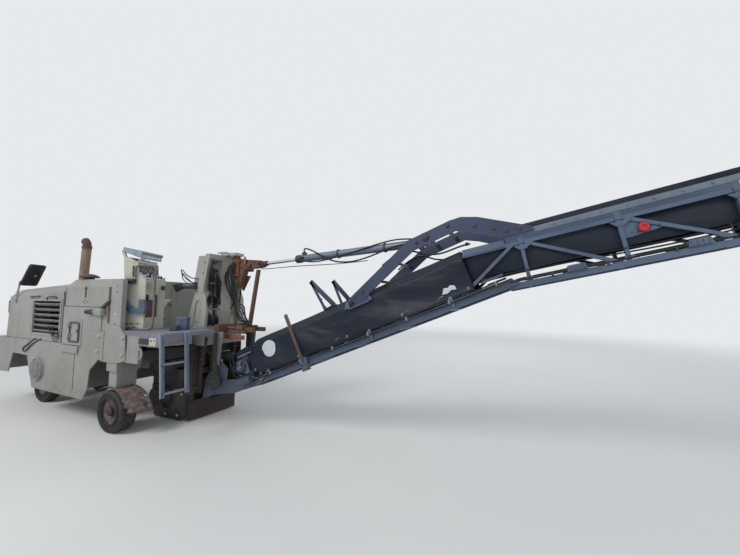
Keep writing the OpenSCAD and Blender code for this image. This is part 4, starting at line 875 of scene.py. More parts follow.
def console_fittings():
    side = Shape(CONSOLE)
    for u in (-282, -190, -98):
        side.box((u - 32, u + 32), (-3, 1), (92, 108), 4)
    side.plate([(-236, 22), (-92, 22), (-150, 60)], "y", -4, 1, 2)
    side.done("console_slots", PLASTIC, "chassis")
    (Shape(CONSOLE)
     .tube([(-250, -18, 20), (-190, -30, 38), (-110, -32, 34), (-50, -26, 12)], 26)
     .done("console_foot_pipe", STRUT_RUST, "chassis"))
    (Shape(CONSOLE)
     .plate([(-318, 478), (-318, 398), (-190, 266), (30, 266), (44, 388), (10, 492), (-62, 500), (-62, 352),
         (-158, 352), (-250, 440), (-256, 478)], "y", -58, -1, 6)
     .bolts([(-284, -58, 440), (-20, -58, 440)], OUT[-1], 18)
     .done("console_bracket", TUBE_BLUE, "chassis"))
    (Shape(CONSOLE)
     .tube([(-226, -3, 862), (-178, -3, 862), (-178, -3, 1042), (-226, -3, 1042), (-226, -3, 862),
         (-205, -3, 862)], 13, bend=18)
     .done("grip_frame", CREAM, "chassis"))
    (Shape(CONSOLE)
     .box((-220, -184), (-4, 1), (868, 1036), 8)
     .box((-286, -148), (-52, -1), (748, 832), 12)
     .box((-262, -172), (-70, -40), (766, 812), 10)
     .done("side_box", PLASTIC, "chassis"))
    vent = Shape(CONSOLE)
    for k in range(9):
        vent.box((-1, 7), (22, 168), (642 + 16 * k, 651 + 16 * k), 2.5)
    vent.done("console_vent", CREAM, "chassis")
    (Shape(CONSOLE)
     .box((-40, -26), (20, 360), (195, 580), 3)
     .box((-1, 4), (428, 552), (660, 738), 5)
     .box((-30, -14), (30, 140), (500, 568), 5)
     .box((-30, -14), (318, 352), (460, 570), 5)
     .done("console_dark", PLASTIC, "chassis"))
    (Shape(CONSOLE)
     .plate([(25, 200), (350, 200), (350, 470), (180, 482), (25, 466)], "x", -22, -12, 3)
     .box((-14, -2), (25, 350), (200, 222), 3)
     .done("console_panel", MAROON_CLOTH, "chassis"))
    (Shape(CONSOLE)
     .box((-16, 8), (112, 232), (488, 576), 9)
     .rod((8, 150, 532), (18, 150, 532), 30, 16, 3)
     .done("console_gauge_box", WHITE, "chassis"))
    (Shape(CONSOLE)
     .plate([(4, 824), (-128, 928), (-128, 938), (4, 834)], "y", 4, 560, 2)
     .done("control_desk", WHITE, "chassis"))
    knobs = Shape(CONSOLE)
    lean = Vector((0.62, 0, 0.785))
    for u, v, d in ((-96, 60, 30), (-96, 118, 26), (-92, 236, 34), (-88, 330, 26), (-100, 420, 30),
            (-60, 500, 26), (-34, 70, 30), (-40, 150, 40), (-28, 240, 24), (-42, 390, 34), (-30, 470, 28),
            (-26, 545, 24)):
        place = Vector((u, v, 834 - u * 0.788))
        knobs.lathe([(0, 0), (d * 0.62, 0), (d * 0.62, 5), (d * 0.42, 8), (d * 0.46, 26), (d * 0.30, 32),
            (0, 32)], place, lean, 14)
    for v in (190, 285, 350):
        knobs.rod((-66, v, 884), (-32, v, 928), 10, 10, 1)
        knobs.rod((-38, v, 920), (-20, v, 943), 26, 12, 8)
    knobs.done("control_knobs", PLASTIC, "chassis")
    # Dark back wall of the instrument hood: the panel, darkened as painted shade under the lid
    (Shape(CONSOLE)
     .plate([(-134, 940), (-146, 1092), (-140, 1092), (-128, 940)], "y", 18, 542, 2)
     .done("instrument_panel_shade", DARK_PLASTIC, "chassis"))
    dials = Shape(CONSOLE)
    for k, (v, h) in enumerate(((80, 1050), (160, 1052), (240, 1048), (330, 1050), (420, 1046), (500, 1050),
            (120, 980), (300, 984), (460, 980))):
        r = 30 if k % 3 else 24
        dials.lathe([(0, 0), (r, 0), (r, 10), (r - 4, 12), (r - 6, 6), (0, 6)], (-134, v, h), (1, 0, 0.08),
            20)
    dials.done("dials", GREY_STEEL, "chassis")
    taps = Shape(CONSOLE)
    for v, h in ((667, 436), (735, 402)):
        taps.rod((-6, v, h), (26, v, h), 22, 12, 3)
        taps.tube([(20, v, h), (30, v, h - 18), (30, v - 26, h - 34), (28, v - 58, h - 30)], 13, sides=8)
    taps.bolt((0, 556, 144), (1, 0, 0), 20)
    taps.done("tray_taps", DARK_PLASTIC, "chassis")
    Shape(LID).box((30, 290), (8, 556), (-40, -2), 8).done("lamp_strip", DARK_PLASTIC, "lid")
    visor = Shape(LID)
    visor.plate([(272, 4), (312, 4), (318, -78), (308, -80), (300, -10), (272, -10)], "y", -4, 566, 3)
    for v in (-6, 556):
        visor.plate([(10, 4), (312, 4), (316, -60), (280, -70), (10, -24)], "y", v, v + 12, 3)
    visor.done("lid_visor", LID_BLUE, "lid")
    tubes = Shape(LID)
    for v in (40, 230, 420):
        tubes.box((80, 290), (v, v + 120), (-44, -30), 6)
    tubes.box((311, 317), (20, 545), (-60, -16), 3)
    tubes.done("lid_lamps", LENS, "lid")
    tags = Shape(LID)
    for v in (150, 262, 420):
        tags.box((314, 321), (v, v + 44), (-66, -8), 3)
    tags.done("lid_tags", WHITE, "lid")


# Tower and its hoses

def tower_fittings():
    arch = Shape()
    for y in (-2, 892):
        arch.tube([(548, y, 1590), (600, y, 1990), (622, y, 2070), (672, y, 2098), (728, y, 2070),
            (746, y, 1996), (690, y, 1590)], 16, sides=8)
    arch.done("tower_arch_edge", TOWER_PAINT, "chassis")
    bolts = Shape()
    for side, y in ((-1, 0), (1, 890)):
        bolts.bolts([(804, y, 2773), (757, y, 2573), (639, y, 1719)], OUT[side], 22)
    bolts.done("tower_bolts", GREY_STEEL, "chassis")
    lug = Shape()
    for side, y in ((-1, 0), (1, 890)):
        lug.lathe([(0, 0), (48, 0), (48, 6), (36, 12), (20, 6), (0, 6)], (596, y, 1575), OUT[side])
    lug.done("tower_lug", PALE_BOLT, "chassis")
    lip = Shape()
    for y in (-14, 890):
        lip.plate([(497, 2336), (506, 2312), (786, 2222), (806, 2240)], "y", y, y + 14, 3)
    lip.done("tower_lip", TOWER_PAINT, "chassis")
    blocks = Shape()
    for y, z, w, h in ((110, 2762, 90, 50), (130, 2640, 110, 56), (100, 2480, 80, 46), (640, 2720, 110, 60),
            (660, 2560, 120, 50)):
        blocks.box((868, 912), (y - w / 2, y + w / 2), (z - h / 2, z + h / 2), 7)
        blocks.rod((912, y - 20, z), (930, y - 20, z), 22, 12, 3)
        blocks.rod((912, y + 22, z), (926, y + 22, z), 26, 12, 3)
    blocks.box((770, 800), (120, 240), (2360, 2470), 8)
    blocks.done("valve_blocks", OILY, "chassis")
    hoses = Shape()
    random.seed(4)
    for k in range(7):
        y = 38 + 34 * k
        x = 905 + random.uniform(0, 26)
        top = 2700 - 40 * k + random.uniform(-30, 30)
        hoses.tube([(880, y + 20, top + 10), (x + 20, y, top), (x + 30, y - 20, top - 180),
            (x + 6, y + 8, top - 420), (x - 40, y - 6, 2130), (x - 60, y + 20, 1950 - 20 * k),
            (x - 42, y + 30, 1760), (845, y + 40, 1650)], 24 if k % 3 else 30, sides=9)
    hoses.tube([(890, 90, 2766), (948, 30, 2790), (966, -14, 2700), (950, -26, 2560), (930, -8, 2420),
        (900, 20, 2330), (872, 60, 2260)], 28, sides=9)
    hoses.tube([(880, 180, 2240), (960, 200, 2180), (990, 160, 2068), (950, 120, 1990), (866, 130, 1960)],
        24, sides=9)
    for k in range(4):
        y = 640 + 40 * k
        hoses.tube([(886, y, 2720 - 50 * k), (930, y + 8, 2640), (926, y - 10, 2380), (890, y, 2160),
            (862, y + 6, 1900), (840, y, 1700)], 26, sides=9)
    hoses.done("tower_hoses", HOSE, "chassis")
    (Shape()
     .box((846, 950), (10, 268), (2386, 2410), 6)
     .box((822, 900), (20, 290), (1930, 1954), 6)
     .box((846, 940), (624, 776), (2300, 2322), 6)
     .done("hose_clamps", ZINC, "chassis"))
    (Shape()
     .tube([(655, -4, 2470), (620, -46, 2476), (560, -90, 2496), (480, -130, 2560), (410, -150, 2630),
         (380, -140, 2600), (410, -110, 2520), (500, -60, 2430), (600, -20, 2400), (640, -4, 2400)], 17,
         sides=8)
     .tube([(640, -4, 2410), (590, -60, 2390), (500, -110, 2400), (430, -140, 2470), (440, -170, 2560),
         (480, -150, 2540), (540, -90, 2440), (632, -4, 2370)], 15, sides=8)
     .done("looped_wires", HOSE, "chassis"))
    (Shape()
     .box((560, 640), (-90, -2), (2290, 2366), 12)
     .rod((330, -66, 2326), (600, -46, 2330), 62, 20, 8)
     .rod((310, -67, 2326), (334, -66, 2326), 84, 20, 6)
     .done("side_motor", ARM_BLUE, "chassis"))
    (Shape()
     .plate([(90, 2372), (300, 2392), (312, 2290), (190, 2238), (150, 2300)], "y", -100, -40, 12)
     .done("side_wedge", DARK_PLASTIC, "chassis"))


# Mast

def mast_fittings():
    (Shape()
     .rod((1180, 372, 2560), (1190, 372, 2806), 24)
     .rod((1216, 372, 2540), (1222, 372, 2780), 20)
     .box((1150, 1250), (355, 390), (2796, 2824), 6)
     .box((1150, 1250), (355, 390), (2536, 2562), 6)
     .bolts([(1380, 385, 2826), (1560, 385, 2790), (1260, 385, 2700)], OUT[-1], 32)
     .done("mast_rods", ORANGE_RUST, "slew"))
    (Shape()
     .box((1412, 1500), (350, 386), (2700, 2752), 8)
     .box((1250, 1330), (560, 640), (2640, 2740), 10)
     .rod((1700, 320, 2755), (1700, 352, 2755), 44, 18, 5)
     .done("mast_lugs", OILY, "slew"))
    (Shape()
     .plate([(1352, 2738), (1396, 2748), (1408, 2884), (1366, 2892)], "y", 340, 351, 4)
     .done("mast_tag", RED_PLASTIC, "slew"))
    hoses = Shape()
    for k, (aside, d) in enumerate(((0, 28), (52, 24), (-44, 26), (104, 20), (150, 22), (-20, 18))):
        sway = 34 * math.sin(2.4 * k)
        hoses.tube([(1130, 350, 2790 - 24 * k), (1050 + aside / 3, 300, 2700 - 20 * k),
            (1062 + aside + sway, 286, 2490), (1126 + aside, 282 - 6 * k, 2288),
            (1230 + aside * 0.8 - sway, 280, 2060), (1366 + aside * 0.7, 276, 1846 + aside),
            (1500, 262 + 9 * k, 1740 + aside / 2), (1600, 296 + 10 * k, 1676)], d)
    hoses.box((1120, 1290), (262, 300), (2180, 2206), 8)
    hoses.tube([(1160, 300, 2470), (1230, 240, 2380), (1300, 230, 2200), (1240, 250, 2030),
        (1150, 300, 1960)], 22)
    hoses.done("mast_hoses", HOSE, "slew")
    (Shape()
     .tube([(830, 250, 2960), (960, 240, 2972), (1060, 300, 2960), (1085, 345, 2900)], 34, bend=60)
     .done("mast_pipe", PALE_BOLT, "chassis"))
    (Shape()
     .plate([(1000, 2562), (1230, 2270), (1390, 2552)], "y", 500, 512, 4)
     .done("mast_guard", DARK_PLASTIC, "slew"))
    (Shape()
     .box((1010, 1520), (250, 274), (1424, 1500), 5)
     .box((1350, 1500), (225, 252), (1600, 1668), 8)
     .done("beam_plates", ORANGE_RUST, "slew"))
    (Shape()
     .box((980, 1560), (246, 274), (1528, 1590), 5)
     .box((1060, 1330), (230, 262), (1606, 1650), 6)
     .done("beam_boards", STRUT_RUST, "slew"))
    (Shape()
     .bolts([(1090 + 110 * k, 248, 1560) for k in range(5)], OUT[-1], 26)
     .bolts([(1080, 45, 1590), (1080, 45, 1300), (1080, 45, 1010)], OUT[-1], 26)
     .done("beam_bolts", RUST, "slew"))
    fork = Shape()
    for y in (30, 820):
        fork.plate([(1130, 1560), (1250, 1560), (1190, 980), (1130, 1040)], "y", y + 16, y + 30, 4)
    fork.done("fork_gussets", GREY_STEEL, "slew")
    (Shape()
     .rod((820, 60, 1460), (774, 60, 1110), 46, 20, 5)
     .rod((816, 60, 1420), (788, 60, 1220), 66, 20, 5)
     .lathe([(0, 0), (46, 0), (46, 22), (20, 26), (20, 34), (0, 34)], (770, 42, 1080))
     .box((735, 800), (40, 80), (1050, 1110), 6)
     .done("leg_cylinder", POST_RUST, "chassis"))
    (Shape()
     .plate([(760, 1440), (888, 1440), (700, 500), (600, 500)], "y", 40, 66, 5)
     .bolts([(800, 40, 1390), (850, 40, 1330), (660, 40, 560)], OUT[-1], 22)
     .done("rear_post_plate", POST_RUST, "chassis"))


# Luffing cylinder

def cylinder_fittings():
    gland = Shape(LUFF)
    gland.lathe([(58, 0), (66, 0), (68, 6), (68, 92), (62, 100), (50, 100), (46, 112), (32, 112)],
        (2226, 0, 0), (1, 0, 0))
    for along in (1500, 700):
        gland.lathe([(60, 0), (72, 0), (72, 26), (60, 26)], (along, 0, 0), (1, 0, 0))
    gland.done("cylinder_gland", PLASTIC, "barrel")
    (Shape(LUFF)
     .box((2140, 2200), (-34, 34), (-104, -56), 6)
     .box((2150, 2190), (-90, -54), (-22, 22), 6)
     .rod((2170, -88, 0), (2170, -112, 0), 30, 6, 2)
     .box((120, 190), (-34, 34), (54, 96), 6)
     .done("cylinder_ports", OILY, "barrel"))
    (Shape(LUFF)
     .tube([(2170, -108, 0), (2172, -150, 16), (2110, -160, 60), (1930, -110, 96), (1700, -84, 84),
         (1500, -80, 58), (1250, -78, 20), (1000, -76, -20), (760, -78, -60), (520, -80, -80),
         (300, -76, -64), (190, -50, -40)], 22)
     .tube([(2170, 0, -100), (2150, -30, -150), (2060, -60, -138), (1900, -80, -60), (1700, -84, 60),
         (1500, -80, 136), (1250, -76, 160), (1000, -76, 128), (760, -76, 70), (560, -74, 20),
         (400, -72, 0), (330, -56, 0)], 24)
     .done("cylinder_hoses", HOSE, "barrel"))
    (Shape(LUFF)
     .lathe([(32, 0), (46, 4), (46, 60), (32, 66)], (2950, 0, 0), (1, 0, 0))
     .done("rod_eye_collar", OILY, "rod"))
    (Shape(LUFF)
     .tube([(3010, -30, 24), (3004, -70, 70), (2940, -106, 112), (2272, -116, 134), (1500, -120, 176),
         (960, -120, 182)], 13, sides=8)
     .done("rod_cable", HOSE, "rod"))


# Conveyor

COVER_S = (812, 4598)
COVER_HALF = 342
COVER_THICK = 0.005


def cover_form(s, v):
    """The rubber's place (y, t) at s along and v from -1 to 1 round it, with its folds."""
    sink = (s - 750) * 0.0087
    edge, top = 275 - sink, 395 - sink
    low = -112 - 63 * min(1, max(0, (s - 810) / 490)) - 5 * min(1, max(0, (s - 1300) / 3300))
    side, slope, roof = edge - low, math.hypot(0.4 * COVER_HALF, top - edge), 1.2 * COVER_HALF
    total = 2 * (side + slope) + roof
    run = (v + 1) / 2 * total
    near = run <= total / 2
    run = run if near else total - run
    sign = -1 if near else 1
    if run < side:
        y, t, out = COVER_HALF, low + run, (1, 0)
    elif run < side + slope:
        k = (run - side) / slope
        y, t, out = COVER_HALF * (1 - 0.4 * k), edge + k * (top - edge), (0.66, 0.75)
    else:
        y, t, out = 0.6 * COVER_HALF - (run - side - slope), top, (0, 1)
    k = side / (total / 2)
    hang = max(0.0, 1 - run / side) if run < side else 0.0
    puff = 5.0 * noise.noise(Vector((s * 0.0021, v * 3.1, sign * 2.0)))
    wave = 7.5 * hang ** 1.3 * math.sin(s * 0.0083 + 0.9 * math.sin(s * 0.0031))
    crease = 0.0
    if near:
        for s0, t0, s1, t1, width, depth in CREASES:
            crease += depth * ridge(s, t, s0, t0, s1, t1, width)
    move = puff + wave + crease
    ends = min(1.0, (s - COVER_S[0]) / 60, (COVER_S[1] - s) / 60)
    move = max(-3.0, min(11.0, move * (0.35 + 0.65 * max(0.0, ends))))
    return sign * (y + out[0] * move), t + out[1] * move


# Folds from (s, t) to (s, t), with their width and height
CREASES = (
    (2040, 215, 2480, -40, 60, 9), (1880, 180, 2330, -70, 75, -6), (2500, 90, 2900, 15, 55, 8),
    (2640, -20, 3140, 140, 80, 7), (1680, 150, 1500, -60, 70, 6), (3350, 200, 3560, -60, 90, 6),
    (3890, 190, 3760, -90, 80, -5), (1240, 130, 1020, -40, 80, 5), (4320, 190, 4440, -60, 60, 7),
    (2880, 190, 3240, 215, 46, 7), (4060, 60, 4500, 120, 90, 5),
)


def ridge(s, t, s0, t0, s1, t1, width):
    """1 along a line that dies out at its ends and to its sides."""
    length = math.hypot(s1 - s0, t1 - t0)
    along = ((s - s0) * (s1 - s0) + (t - t0) * (t1 - t0)) / length
    off = abs((s - s0) * (t1 - t0) - (t - t0) * (s1 - s0)) / length
    if not 0 < along < length or off > width:
        return 0.0
    return math.sin(math.pi * along / length) ** 0.7 * (0.5 + 0.5 * math.cos(math.pi * off / width))


def cover_start(v):
    """The front edge runs back over the roof."""
    t = cover_form(1200, v)[1]
    return COVER_S[0] + 190 * min(1, max(0, (t - 250) / 140))


def cover_point(along, v):
    """A point of the cover, with along from 0 at its front edge to 1 at its rear edge."""
    start = cover_start(v)
    s = start + (COVER_S[1] - start) * along
    return (s, *cover_form(s, v))


def cover_sheet():
    """The rubber sheet with its hem and eyelets, and the skirts over the upper conveyor."""
    rows, columns = 170, 74
    points = [[cover_point(i / rows, -1 + 2 * j / columns) for j in range(columns + 1)]
        for i in range(rows + 1)]
    sheet = skin("belt_cover_sheet", points, LOWER, COVER, "conveyor", COVER_THICK)
    hem = Shape(LOWER)
    for sign in SIDES:
        hem.tube([(s, sign * (abs(cover_form(s, sign)[0]) - 2), cover_form(s, sign)[1] + 4)
            for s in range(816, 4597, 60)], 13, sides=6, steps=2)
    end = COVER_S[1] - 4
    hem.tube([(end, *cover_form(end, -1 + k / 20)) for k in range(41)], 12, sides=6, steps=1)
    edge = hem.done("cover_hem", COVER, "conveyor")
    rings = Shape(LOWER)
    for s in (910, 1790, 2686, 3589, 4529):
        for sign in SIDES:
            y, t = cover_form(s, sign)
            rings.lathe([(9, 1), (17, 1), (19, 4), (13, 8), (9, 6), (9, 1)],
                (s, sign * (abs(y) + 1), t + 42), OUT[sign], 16)
    eyelets = rings.done("cover_eyelets", ZINC, "conveyor")
    skirts = Shape(UPPER)
    for y in (-263, 253):
        skirts.box((-380, 2190), (y, y + 10), (170, 503), 3)
    skirt = skirts.done("upper_skirts", COVER, "conveyor")
    for piece in (sheet, edge, skirt):
        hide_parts("belt_cover")


def conveyor_fittings():
    patch = Shape(LOWER)
    mid_s, mid_t, r = 1290, 150, 128
    outline = [(mid_s + (s - mid_s) * (1.12 if t - mid_t > 0.2 * r else 1), mid_t + (t - mid_t) * 1.02)
        for s, t in ringed((mid_s, mid_t), r, 26)]
    patch.plate(outline, "y", -354, -349, 1.5)
    patch.done("cover_patch", WHITE, "conveyor")
    (Shape(LOWER)
     .plate([(4196, -92), (4262, -104), (4330, -78), (4392, -96), (4386, -40), (4330, -14), (4300, -36),
         (4240, -22)], "y", -352, -348.5, 1)
     .done("cover_scuff", WHITE, "conveyor"))
    (Shape(LOWER)
     .box((540, 776), (-350, -RAIL_Y), (-96, 148), 12)
     .lathe([(0, 0), (70, 0), (70, 40), (52, 56), (52, 84), (30, 92), (0, 92)], (650, -350, 30))
     .bolts([(s, -350, t) for s, t in ringed((650, 30), 92, 6, 0.2)], OUT[-1], 20)
     .done("belt_motor", TUBE_BLUE, "conveyor"))
    boot = Shape(LOWER)
    boot.plate([(60, 236), (240, 262), (430, 296), (620, 330), (800, 352), (872, 352), (872, 334),
        (800, 334), (620, 310), (430, 276), (240, 242), (60, 216)], "y", -268, 268, 3)
    cheek = [(380, 284), (620, 326), (820, 348), (820, 120), (560, 40), (420, 120)]
    for side in SIDES:
        boot.plate(cheek, "y", *span(side, 268, 282), 4)
    boot.done("tail_boot", COVER, "conveyor")
    (Shape(LOWER)
     .plate([(40, 200), (170, 262), (250, 240), (330, 100), (250, -40), (60, 40)], "y", -346, -RAIL_Y, 5)
     .plate([(-330, -60), (-160, 60), (-60, 30), (-80, -140), (-150, -206), (-330, -214), (-420, -190)],
         "y", -348, -RAIL_Y, 8)
     .rod((-150, -345, -110), (-150, -385, -110), 66, 20, 5)
     .done("hinge_plates", BLUE, "conveyor"))
    (Shape(LOWER)
     .rod((808, -300, -197), (976, -345, -266), 34)
     .rod((976, -345, -266), (1170, -330, -150), 30)
     .rod((606, -356, 212), (924, -364, 216), 24)
     .bolts([(806, -338, -176), (970, -345, -262), (560, -338, -180)], OUT[-1], 34)
     .done("tension_rods", GREY_STEEL, "conveyor"))
    hoses = Shape(LOWER)
    for points, d in (
        ([(430, -300, 330), (470, -340, 310), (452, -372, 210), (456, -376, 110), (500, -372, 10),
            (560, -366, -40), (690, -362, -100), (790, -352, -130), (850, -320, -150)], 30),
        ([(470, -300, 350), (520, -346, 300), (520, -380, 180), (540, -384, 60), (600, -382, -20),
            (640, -420, 0)], 28),
        ([(400, -280, 360), (430, -334, 260), (410, -356, 120), (440, -362, -20), (520, -358, -110),
            (640, -350, -150), (740, -330, -160)], 26),
        ([(700, -430, 40), (740, -410, 110), (800, -376, 120), (820, -360, 40), (800, -340, -60)], 24),
        ([(250, -320, 300), (330, -352, 320), (420, -360, 300), (520, -352, 250)], 30),
    ):
        hoses.tube(points, d)
    hoses.done("drive_hoses", HOSE, "conveyor")
    (Shape(LOWER)
     .rod((640, -432, 0), (640, -400, 0), 40, 6, 3)
     .rod((700, -440, 40), (700, -405, 40), 40, 6, 3)
     .bolts([(610, -350, 110), (720, -350, 110), (720, -350, -70), (580, -350, -70)], OUT[-1], 24)
     .done("hose_ends", ZINC, "conveyor"))


def ridge_brackets():
    """Two open triangles stand on the cover's ridge, with the feet of their hoop."""
    tris = Shape(LOWER)
    for y, (s0, t0), (s1, t1), (s2, t2) in (
        (-196, (2298, 900), (2572, 392), (2400, 384)), (196, (2470, 862), (2640, 470), (2500, 388)),
    ):
        for (a, b), (c, d), wide in (((s0, t0), (s1, t1), 76), ((s0, t0), (s2, t2), 44),
                ((s1, t1), (s2, t2), 40)):
            along = Vector((c - a, 0, d - b)).normalized()
            across = Vector((-along.z, 0, along.x)) * wide / 2
            p, q = Vector((a, 0, b)), Vector((c, 0, d))
            tris.plate([(v.x, v.z) for v in (p + across, q + across, q - across, p - across)], "y", y - 7,
                y + 7, 2)
        tris.box((s2 - 20, s1 + 40), (y - 34, y + 34), (384, 396), 3)
    tris.done("ridge_brackets", ARM_BLUE, "conveyor")
    (Shape(LOWER)
     .bolts([(2396, -204, 560), (2556, -204, 440), (2420, -204, 420), (2600, 188, 500)], OUT[-1], 22)
     .done("ridge_bracket_bolts", RUST, "conveyor"))


def frame_fittings():
    rods = Shape(LOWER)
    for a, b in ((2440, 2560), (3240, 3380), (3560, 3700), (4080, 4200)):
        rods.tube([(a, -330, -205), (a + 20, -336, -160), ((a + b) / 2, -338, -120), (b, -334, -110)], 16,
            sides=8)
    for s in (3030, 4250):
        rods.box((s, s + 46), (-352, -330), (-306, -150), 6)
        rods.lathe([(0, 0), (30, 0), (30, 8), (16, 14), (0, 14)], (s + 23, -352, -190))
    rods.done("frame_brackets", TUBE_BLUE, "conveyor")
    (Shape(LOWER)
     .tube([(s, -362, -222 + 6 * math.sin(s * 0.004)) for s in range(820, 5000, 140)], 22, sides=8, steps=2)
     .tube([(s, -356, -196 + 8 * math.sin(s * 0.005 + 1)) for s in range(900, 5000, 140)], 18, sides=8,
         steps=2)
     .done("rail_hoses", HOSE, "conveyor"))
    clips = Shape(LOWER)
    for s in range(1180, 4900, 610):
        clips.box((s, s + 26), (-376, -RAIL_Y), (-238, -184), 5)
    clips.done("rail_clips", GREY_STEEL, "conveyor")
    (Shape(LOWER)
     .bolts([(1830, -373, -290), (1900, -373, -290), (1865, -373, -240), (1830, -373, -360),
         (1900, -373, -360)], OUT[-1], 20)
     .done("socket_bolts", RUST, "conveyor"))
    (Shape(LOWER)
     .plate([(1824, -216), (1872, -216), (1808, 524), (1760, 524)], "y", -381, -372.7, 3)
     .done("lock_bar_face", STRUT_RUST, "conveyor"))
    cross = Shape(LOWER)
    for s in range(930, 4800, 415):
        for side in SIDES:
            cross.box((s + 40, s + 300), (side * 318 - 5, side * 318 + 5), (-150, -120), 3)
    cross.done("belt_stringers", BLUE, "conveyor")
    strip = Shape(LOWER)
    for y in (-306, 296):
        strip.plate([(560, -196), (1560, -204), (1560, -150), (1240, -110), (760, -60), (560, -60)], "y", y,
            y + 10, 2)
    strip.done("belt_edge_strips", BELT, "conveyor")
    neck = Shape(UPPER)
    for y in (-262, 252):
        neck.plate([(-560, 150), (-374, 168), (-374, 500), (-500, 500), (-600, 440)], "y", y, y + 10, 2)
    neck.box((-540, -374), (-258, 258), (490, 502), 3)
    neck.done("neck_flaps", COVER, "conveyor")


def arm_fittings():
    bolts = Shape(LOWER)
    for side in SIDES:
        face = side * 372.5
        bolts.bolts([(s, face, t) for s, t in ((4593, 704), (4661, 540), (3020, 349), (3155, 368),
            (4140, 680), (4900, 560), (5080, 430))], OUT[side], 42)
        bolts.bolts([(s, side * 372, t) for s, t in ((2940, 322), (3200, 282))], OUT[side], 24)
    bolts.done("arm_bolts", MAROON, "conveyor")
    caps = Shape(LOWER)
    for side in SIDES:
        caps.lathe([(0, 0), (24, 0), (40, 2), (40, 12), (30, 18), (0, 18)], (4271, side * 393, 701),
            OUT[side])
        for s, t in ((5207, 342), (5352, 305)):
            caps.lathe([(0, 0), (34, 0), (34, 10), (20, 14), (20, 26), (0, 26)], (s, side * 372.5, t),
                OUT[side], 20)
    caps.done("pin_caps", MAROON, "conveyor")
    feet = Shape(LOWER)
    for side in SIDES:
        low, high = span(side, 344, 384)
        feet.box((2868, 3250), (low, high), (206, 224), 4)
        feet.plate([(2860, 318), (2812, 246), (2826, 226), (2900, 226), (2900, 318)], "y", low, high, 4)
        feet.box((3214, 3262), (low, high), (206, 262), 4)
    feet.done("arm_feet", TUBE_BLUE, "conveyor")
    inner = Shape(LOWER)
    for s in (3420, 3760):
        t = 430 + (s - 3420) * 0.38
        inner.rod((s, -344, t), (s, 344, t), 42, 18, 4)
    inner.done("arm_spacers", ARM_BLUE, "conveyor")
    hoses = Shape(LOWER)
    for side in SIDES:
        hoses.tube([(3560, side * 330, 600), (3700, side * 318, 640), (3870, side * 300, 660),
            (4020, side * 290, 620), (4180, side * 296, 500), (4344, side * 300, 430),
            (4480, side * 306, 410), (4640, side * 310, 400), (4760, side * 300, 380)], 24)
    hoses.done("arm_hoses", HOSE, "conveyor")


def truss_fittings():
    (Shape(UPPER)
     .lathe([(0, 8), (20, 8), (24, 18), (44, 18), (50, 10), (50, 0), (0, 0)], (1289, -319, 331), (0, -1, 0),
         36)
     .done("reflector", RED, "conveyor"))
    rim = Shape(UPPER)
    rim.lathe([(50, -2), (54, -2), (54, 8), (50, 8), (50, -2)], (1289, -319, 331))
    for s, t in ((1135, 440), (1170, 420), (1230, 290), (1420, 320), (1180, 300)):
        rim.lathe([(0, 0), (9, 0), (9, 3), (0, 3)], (s, -318, t), (0, -1, 0), 12)
    rim.done("reflector_rim", PLASTIC, "conveyor")
    idlers = Shape(UPPER)
    for s0 in (500, 1590):
        for side in SIDES:
            outline = [(s0 - 8, 20), (s0 + 198, 20), (s0 + 180, 92), (s0 + 10, 92)]
            idlers.plate(outline, "y", *span(side, 318, 348), 6)
            for k in range(4):
                s = s0 + 22 + k * 46
                idlers.box((s, s + 16), span(side, 348, 356), (28, 84), 3)
    idlers.done("idler_brackets", TUBE_BLUE, "conveyor")
    (Shape(UPPER)
     .tube([(s, -300, 150 + 14 * math.sin(s * 0.0031)) for s in range(-560, 2200, 120)], 20, sides=8,
         steps=2)
     .tube([(s, -292, 116 + 20 * math.sin(s * 0.0024 + 1)) for s in range(-560, 2200, 120)], 18, sides=8,
         steps=2)
     .tube([(s, -326, 36 + 4 * math.sin(s * 0.006)) for s in range(-120, 2300, 120)], 18, sides=8, steps=2)
     .done("truss_hoses", HOSE, "conveyor"))
    ties = Shape(UPPER)
    for s in (100, 1090, 2080):
        for t in (150, 60):
            ties.lathe([(36, -8), (40, -8), (40, 8), (36, 8), (36, -8)], (s, -293, t), (0, 0, 1), 16)
    for s in (330, 880, 1480, 1980):
        ties.box((s, s + 22), (-340, -316), (10, 52), 4)
    ties.done("hose_ties", PLASTIC, "conveyor")
    boards, strip = Shape(UPPER), Shape(UPPER)
    for side in SIDES:
        boards.bolts([(s, side * 333, 597) for s in range(0, 2300, 240)], OUT[side], 20)
        boards.box((-78, 2348), span(side, 328, 333), (562, 630), 3)
        strip.box((-78, 2348), span(side, 328, 333), (626, 689), 3)
    boards.done("board_faces", BOARD_BLUE, "conveyor")
    strip.done("board_rubber", COVER, "conveyor")
    node = Shape(UPPER)
    for side in SIDES:
        low, high = span(side, 318, 326)
        for s in (100, 1090, 2080):
            node.plate([(s - 90, 452), (s + 120, 452), (s + 44, 396), (s - 30, 396)], "y", low, high, 3)
            node.plate([(s - 60, 24), (s + 90, 24), (s + 36, 70), (s - 26, 70)], "y", low, high, 3)
    node.done("truss_gussets", TUBE_BLUE, "conveyor")
    cleats = Shape(UPPER)
    for k in range(12):
        s = 60 + k * 190
        cleats.box((s, s + 22), (-236, 236), (267, 285), 5)
    cleats.done("belt_cleats", BELT, "conveyor")


# Wheels, legs and drum

